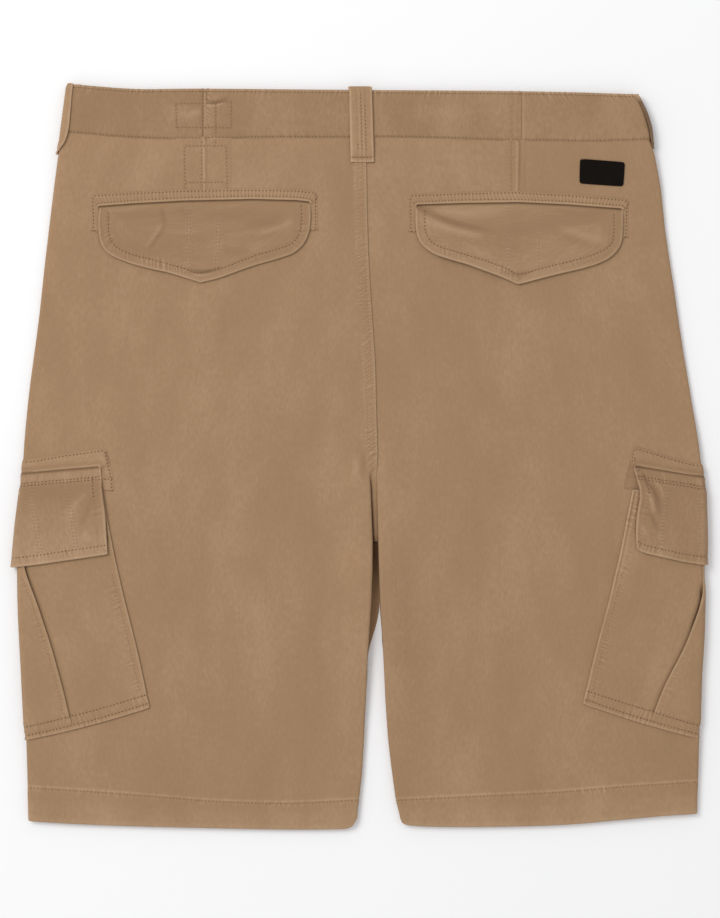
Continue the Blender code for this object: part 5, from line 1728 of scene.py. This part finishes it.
# %% Leather and horn
LEATHER = plain_material("black_leather", (0.006, 0.004, 0.003), 0.7, Specular_IOR_Level=0.07)
n = Nodes(LEATHER)
grain_place = n.object_place()
grain = n.add("ShaderNodeTexVoronoi", {"Vector": grain_place, "Scale": 1400.0}).outputs["Distance"]
n.bump(grain, 0.4, 0.2 * MM)
cloudy = n.noise(grain_place, 1 / 160, 3.0)
n.link(n.mixed(cloudy, (0.0035, 0.0022, 0.0015), (0.008, 0.005, 0.0035)), "Base Color")

HORN = plain_material("horn_button", (0.070, 0.042, 0.024), 0.32)
n = Nodes(HORN)
streaks = n.noise(n.object_place(), 1 / 260, 4.0, Distortion=1.2)
n.link(n.mixed(streaks, (0.035, 0.020, 0.012), (0.150, 0.090, 0.052)), "Base Color")
print("leather and horn ready")

# %% Patch
PATCH_CORNERS = ((168.3, 225.8), (168.0, 207.9), (200.6, 205.6), (201.6, 223.1))
PATCH_ROUND, PATCH_STAND = 2.1, 0.95


def make_patch():
    corners = np.array(PATCH_CORNERS)
    outline = []
    for before, corner, after in zip(np.roll(corners, 1, axis=0), corners, np.roll(corners, -1, axis=0)):
        a = corner + unit(before - corner) * PATCH_ROUND
        b = corner + unit(after - corner) * PATCH_ROUND
        for t in np.linspace(0, 1, 5):
            outline.append(a * (1 - t) ** 2 + 2 * corner * t * (1 - t) + b * t ** 2)
    closed = spread(np.array(outline + outline[:1]), 200)
    spine = np.array([(177.0, 216.5), (192.5, 215.4)])
    x, y = rows_to_spine(closed, spine, (0.0, 0.3, 0.7, 1.2, 1.8, 2.5, 3.4))
    inside = abs(beside(closed, x, y)[0])
    pressed = 0.12 * bell(inside - 0.6, 0.5) - 0.10 * bell(inside - 1.6, 0.5)
    grid = cloth_grid(laid(x, y, PATCH_STAND + pressed), 0.0)
    grid = turned(grid, "first_col", 1.1, 1.0, BACK)
    return cloth("patch_leather", grid, LEATHER, BACK, loop=True)


patch = make_patch()
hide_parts("patch")

# %% Button
BUTTON_PROFILE = ((0, 0.75), (3.4, 0.80), (4.4, 1), (5.2, 1.35), (6.2, 1.45), (7.4, 1.45), (8.1, 1.25),
    (8.4, 0.9), (8.2, 0.5), (7.2, 0.25), (4, 0.1), (0, 0.1))
HOLE_PLACES = ((-1.5, -1.5), (1.5, -1.5), (1.5, 1.5), (-1.5, 1.5))
HOLE_RADIUS, DISH = 0.7, 0.76


def joined(name, points, faces, finish):
    """A hard piece or thread, from its points and faces"""
    mesh = bpy.data.meshes.new(name)
    mesh.from_pydata((np.asarray(points) * MM).tolist(), [], faces)
    return added(name, mesh, finish)


def make_button():
    low, high = (np.array(corner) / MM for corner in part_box("button"))
    centre, segments = (low + high) / 2, 48
    profile = rounded(BUTTON_PROFILE, 0.6)
    turn = np.linspace(0, 2 * math.pi, segments, endpoint=False)
    ring = np.stack([np.cos(turn), np.sin(turn)], axis=-1)
    points = [(centre[0] + r * c, centre[1] + r * s, high[2] - 0.1 - z)
              for r, z in np.maximum(profile, 0.01) for c, s in ring]
    faces = [(i * segments + j, i * segments + (j + 1) % segments, (i + 1) * segments + (j + 1) % segments,
              (i + 1) * segments + j) for i in range(len(profile) - 1) for j in range(segments)]
    return joined("waist_button", points, faces, HORN), centre, high[2]


def make_holes(centre, top):
    """The four holes as dark discs just off the dish, on the side that faces the table: painted shade that
    stands for the holes' depth
    """
    turn = np.linspace(0, 2 * math.pi, 16, endpoint=False)
    points = [(centre[0] + x + HOLE_RADIUS * math.cos(t), centre[1] + y - HOLE_RADIUS * math.sin(t),
               top - 0.1 - DISH - 0.06) for x, y in HOLE_PLACES for t in turn]
    faces = [tuple(range(16 * hole, 16 * hole + 16)) for hole in range(4)]
    return joined("button_holes", points, faces, LEATHER)


button, button_centre, button_top = make_button()
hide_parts("button")
make_holes(button_centre, button_top)

# %% [markdown]
# ## Stitches
# The thread is spun cotton, dyed with the shorts but darker. Each visible stitch is a short bead,
# half sunk in its dent. Rows of stitches follow the grids: where a measure over a grid, such as the
# distance from an edge, passes the right value, the thread goes along. Rows drawn as lines are
# dropped onto their piece instead. All stitches of one piece are one mesh.

# %% Thread
def thread(name, dark, light):
    finish = plain_material(name, light, 0.75, Sheen_Weight=0.1)
    n = Nodes(finish)
    twist = n.noise(n.object_place(), 1 / 900)
    n.link(n.mixed(twist, dark, light), "Base Color")
    return finish


THREAD = thread("thread", (0.090, 0.042, 0.014), (0.170, 0.090, 0.037))
FADED_THREAD = thread("faded_thread", (0.140, 0.075, 0.033), (0.230, 0.135, 0.066))
SOFT_THREAD = thread("soft_thread", (0.220, 0.130, 0.066), (0.310, 0.190, 0.104))
WORN_THREAD = thread("worn_thread", (0.340, 0.220, 0.130), (0.480, 0.330, 0.215))
# Washing has faded the thread of many pieces, and rubbed the dye off some rows
THREADS = {"seat_seam": WORN_THREAD, "dart_seam_right": SOFT_THREAD}
for name in ("waistband_centre", "belt_loop_centre", "dart_seam_left"):
    THREADS[name] = FADED_THREAD
for word in WORDS.values():
    for name in ("waistband_side_", "back_panel_"):
        THREADS[name + word] = FADED_THREAD
    for name in ("cargo_pocket_{}_cloth_worn_rows", "cargo_flap_{}_cloth_uprights",
                 "pocket_flap_{}_cloth_uprights"):
        THREADS[name.format(word)] = SOFT_THREAD

# %% Stitches
STITCH_LENGTH, STITCH_WIDTH, STITCH_HEIGHT = 1.40, 0.95, 0.26
STITCH_STATIONS = ((-0.34, 0.8), (0.0, 1.0), (0.34, 0.8))
stitch_random = np.random.default_rng(11)
print("stitches", STITCH_LENGTH, "mm long, every", STITCH_PITCH, "mm")


def stitch_beads(points, outward, along, ticks=False):
    """Corners of the stitches along one row; ticks stand across it and are smaller"""
    first, last = math.ceil(along[0] / STITCH_PITCH - 0.5), math.floor(along[-1] / STITCH_PITCH - 0.5)
    count = last + 1 - first
    at = (np.arange(first, last + 1) + 0.5) * STITCH_PITCH + stitch_random.normal(0, 0.08, count)
    here = read_along(points, along, at)
    up = unit(read_along(outward, along, at))
    run = unit(read_along(points, along, at + 0.4) - read_along(points, along, at - 0.4))
    side = unit(np.cross(up, run))
    run = unit(run + side * stitch_random.normal(0, 0.07, count)[:, None])
    if ticks:
        run, side = side, run
    size = ((0.75 if ticks else 1.0) + stitch_random.normal(0, 0.08, count))[:, None]
    rows = []
    for shift, wide in STITCH_STATIONS:
        for angle in (0, 60, 120, 180):
            across = math.cos(math.radians(angle)) * STITCH_WIDTH / 2 * wide
            rise = math.sin(math.radians(angle)) * STITCH_HEIGHT * wide - 0.04
            rows.append(here + run * shift * STITCH_LENGTH * size + side * across + up * rise)
    rows.append(here - run * STITCH_LENGTH / 2 * size - up * 0.1)
    rows.append(here + run * STITCH_LENGTH / 2 * size - up * 0.1)
    return np.stack(rows, axis=1)


BEAD_FACES = [(b + i, b + i + 1, b + i + 5, b + i + 4) for b in (0, 4) for i in range(3)]
BEAD_FACES += [(12, i + 1, i) for i in range(3)] + [(13, 8 + i, 9 + i) for i in range(3)]

# %% Rows dropped onto pieces, and one mesh of stitches for each piece
def dropped(piece, line, face=BACK):
    """A drawn line, dropped onto a piece from its outer side"""
    mesh = piece.data
    points = np.empty(len(mesh.vertices) * 3)
    mesh.vertices.foreach_get("co", points)
    tree = DROP_TREES.setdefault(piece.name, BVHTree.FromPolygons(
        (points.reshape(-1, 3) / MM).tolist(), [tuple(p.vertices) for p in mesh.polygons]))
    found, outward = [], []
    for x, y in rounded(line, 0.7):
        hit, normal, *_ = tree.ray_cast(Vector((x, y, face * 60.0)), Vector((0, 0, -face)))
        if hit is not None:
            found.append(hit[:])
            outward.append(normal[:] if normal.z * face > 0 else (-normal)[:])
    found = np.reshape(found, (-1, 3))
    return found, np.array(outward), lengths(found)


def sew(name, rows):
    """One mesh from rows of stitches, each a pair of points and outward normals"""
    ticks = "panel" in name
    beads = np.concatenate([stitch_beads(*row, ticks) for row in rows if len(row[0]) > 3])
    points = beads.reshape(-1, 3)
    points[:, 2] = np.maximum(points[:, 2], 0.0)
    faces = [tuple(corner + start for corner in face)
             for start in range(0, len(points), beads.shape[1]) for face in BEAD_FACES]
    return joined("stitches_" + name, points, faces, THREADS.get(name, THREAD))

# %% Plan of the rows that aren't kept yet, and the sewing
DROP_TREES = {}
STITCH_PLAN = {
    "seat_seam": SEAT_ROWS.values(),
    "dart_seam_left": DARTS[LEFT]["rows"],
    "dart_seam_right": DARTS[RIGHT]["rows"],
    "pocket_flap_left_cloth": [FLAP_ROWS[LEFT]],
    "pocket_flap_right_cloth": [FLAP_ROWS[RIGHT]],
    "waistband_centre": BAND_BACK_ROWS[LEFT],
    "waistband_side_left": BAND_BACK_ROWS[LEFT][:5],
    "front_panel_left": [((-31, 229), (-31, 140), (-24, 112), (-6, 92), (8, 84)),
                         ((-25, 229), (-25, 142), (-19, 117), (-4, 99), (7, 92)),
                         ((6.5, 84), (9.5, 20), (9.8, -40))],
}
for name, lines in STITCH_PLAN.items():
    face = FRONT if name == "front_panel_left" else BACK
    for line in lines:
        SEWN_ROWS.setdefault(name, []).append(dropped(CLOTH_PIECES[name], line, face))
for side, word in WORDS.items():
    flap = f"pocket_flap_{word}_cloth"
    SEWN_ROWS[flap + "_uprights"] = [dropped(CLOTH_PIECES[flap], line) for line in FLAP_UPRIGHTS[side]]
for name, rows in SEWN_ROWS.items():
    sew(name, rows)

# %% Thread through the button
BAR_SIDES, BAR_RADIUS = 6, 0.45


def make_button_thread():
    points, faces = [], []
    level = button_top - 0.1 - DISH - 0.15
    for row in (-1.5, 1.5):
        first = len(points)
        for end in (-1.7, -1.2, 1.2, 1.7):
            dip = 0.35 if abs(end) > 1.5 else 0.0
            for turn in np.linspace(0, 2 * math.pi, BAR_SIDES, endpoint=False):
                points.append((button_centre[0] + end, button_centre[1] + row + BAR_RADIUS * math.cos(turn),
                               level + dip + BAR_RADIUS * 0.6 * math.sin(turn)))
        for ring in range(3):
            for i in range(BAR_SIDES):
                a, b = first + ring * BAR_SIDES + i, first + ring * BAR_SIDES + (i + 1) % BAR_SIDES
                faces.append((a, b, b + BAR_SIDES, a + BAR_SIDES))
    return joined("stitches_button", points, faces, THREAD)


make_button_thread()
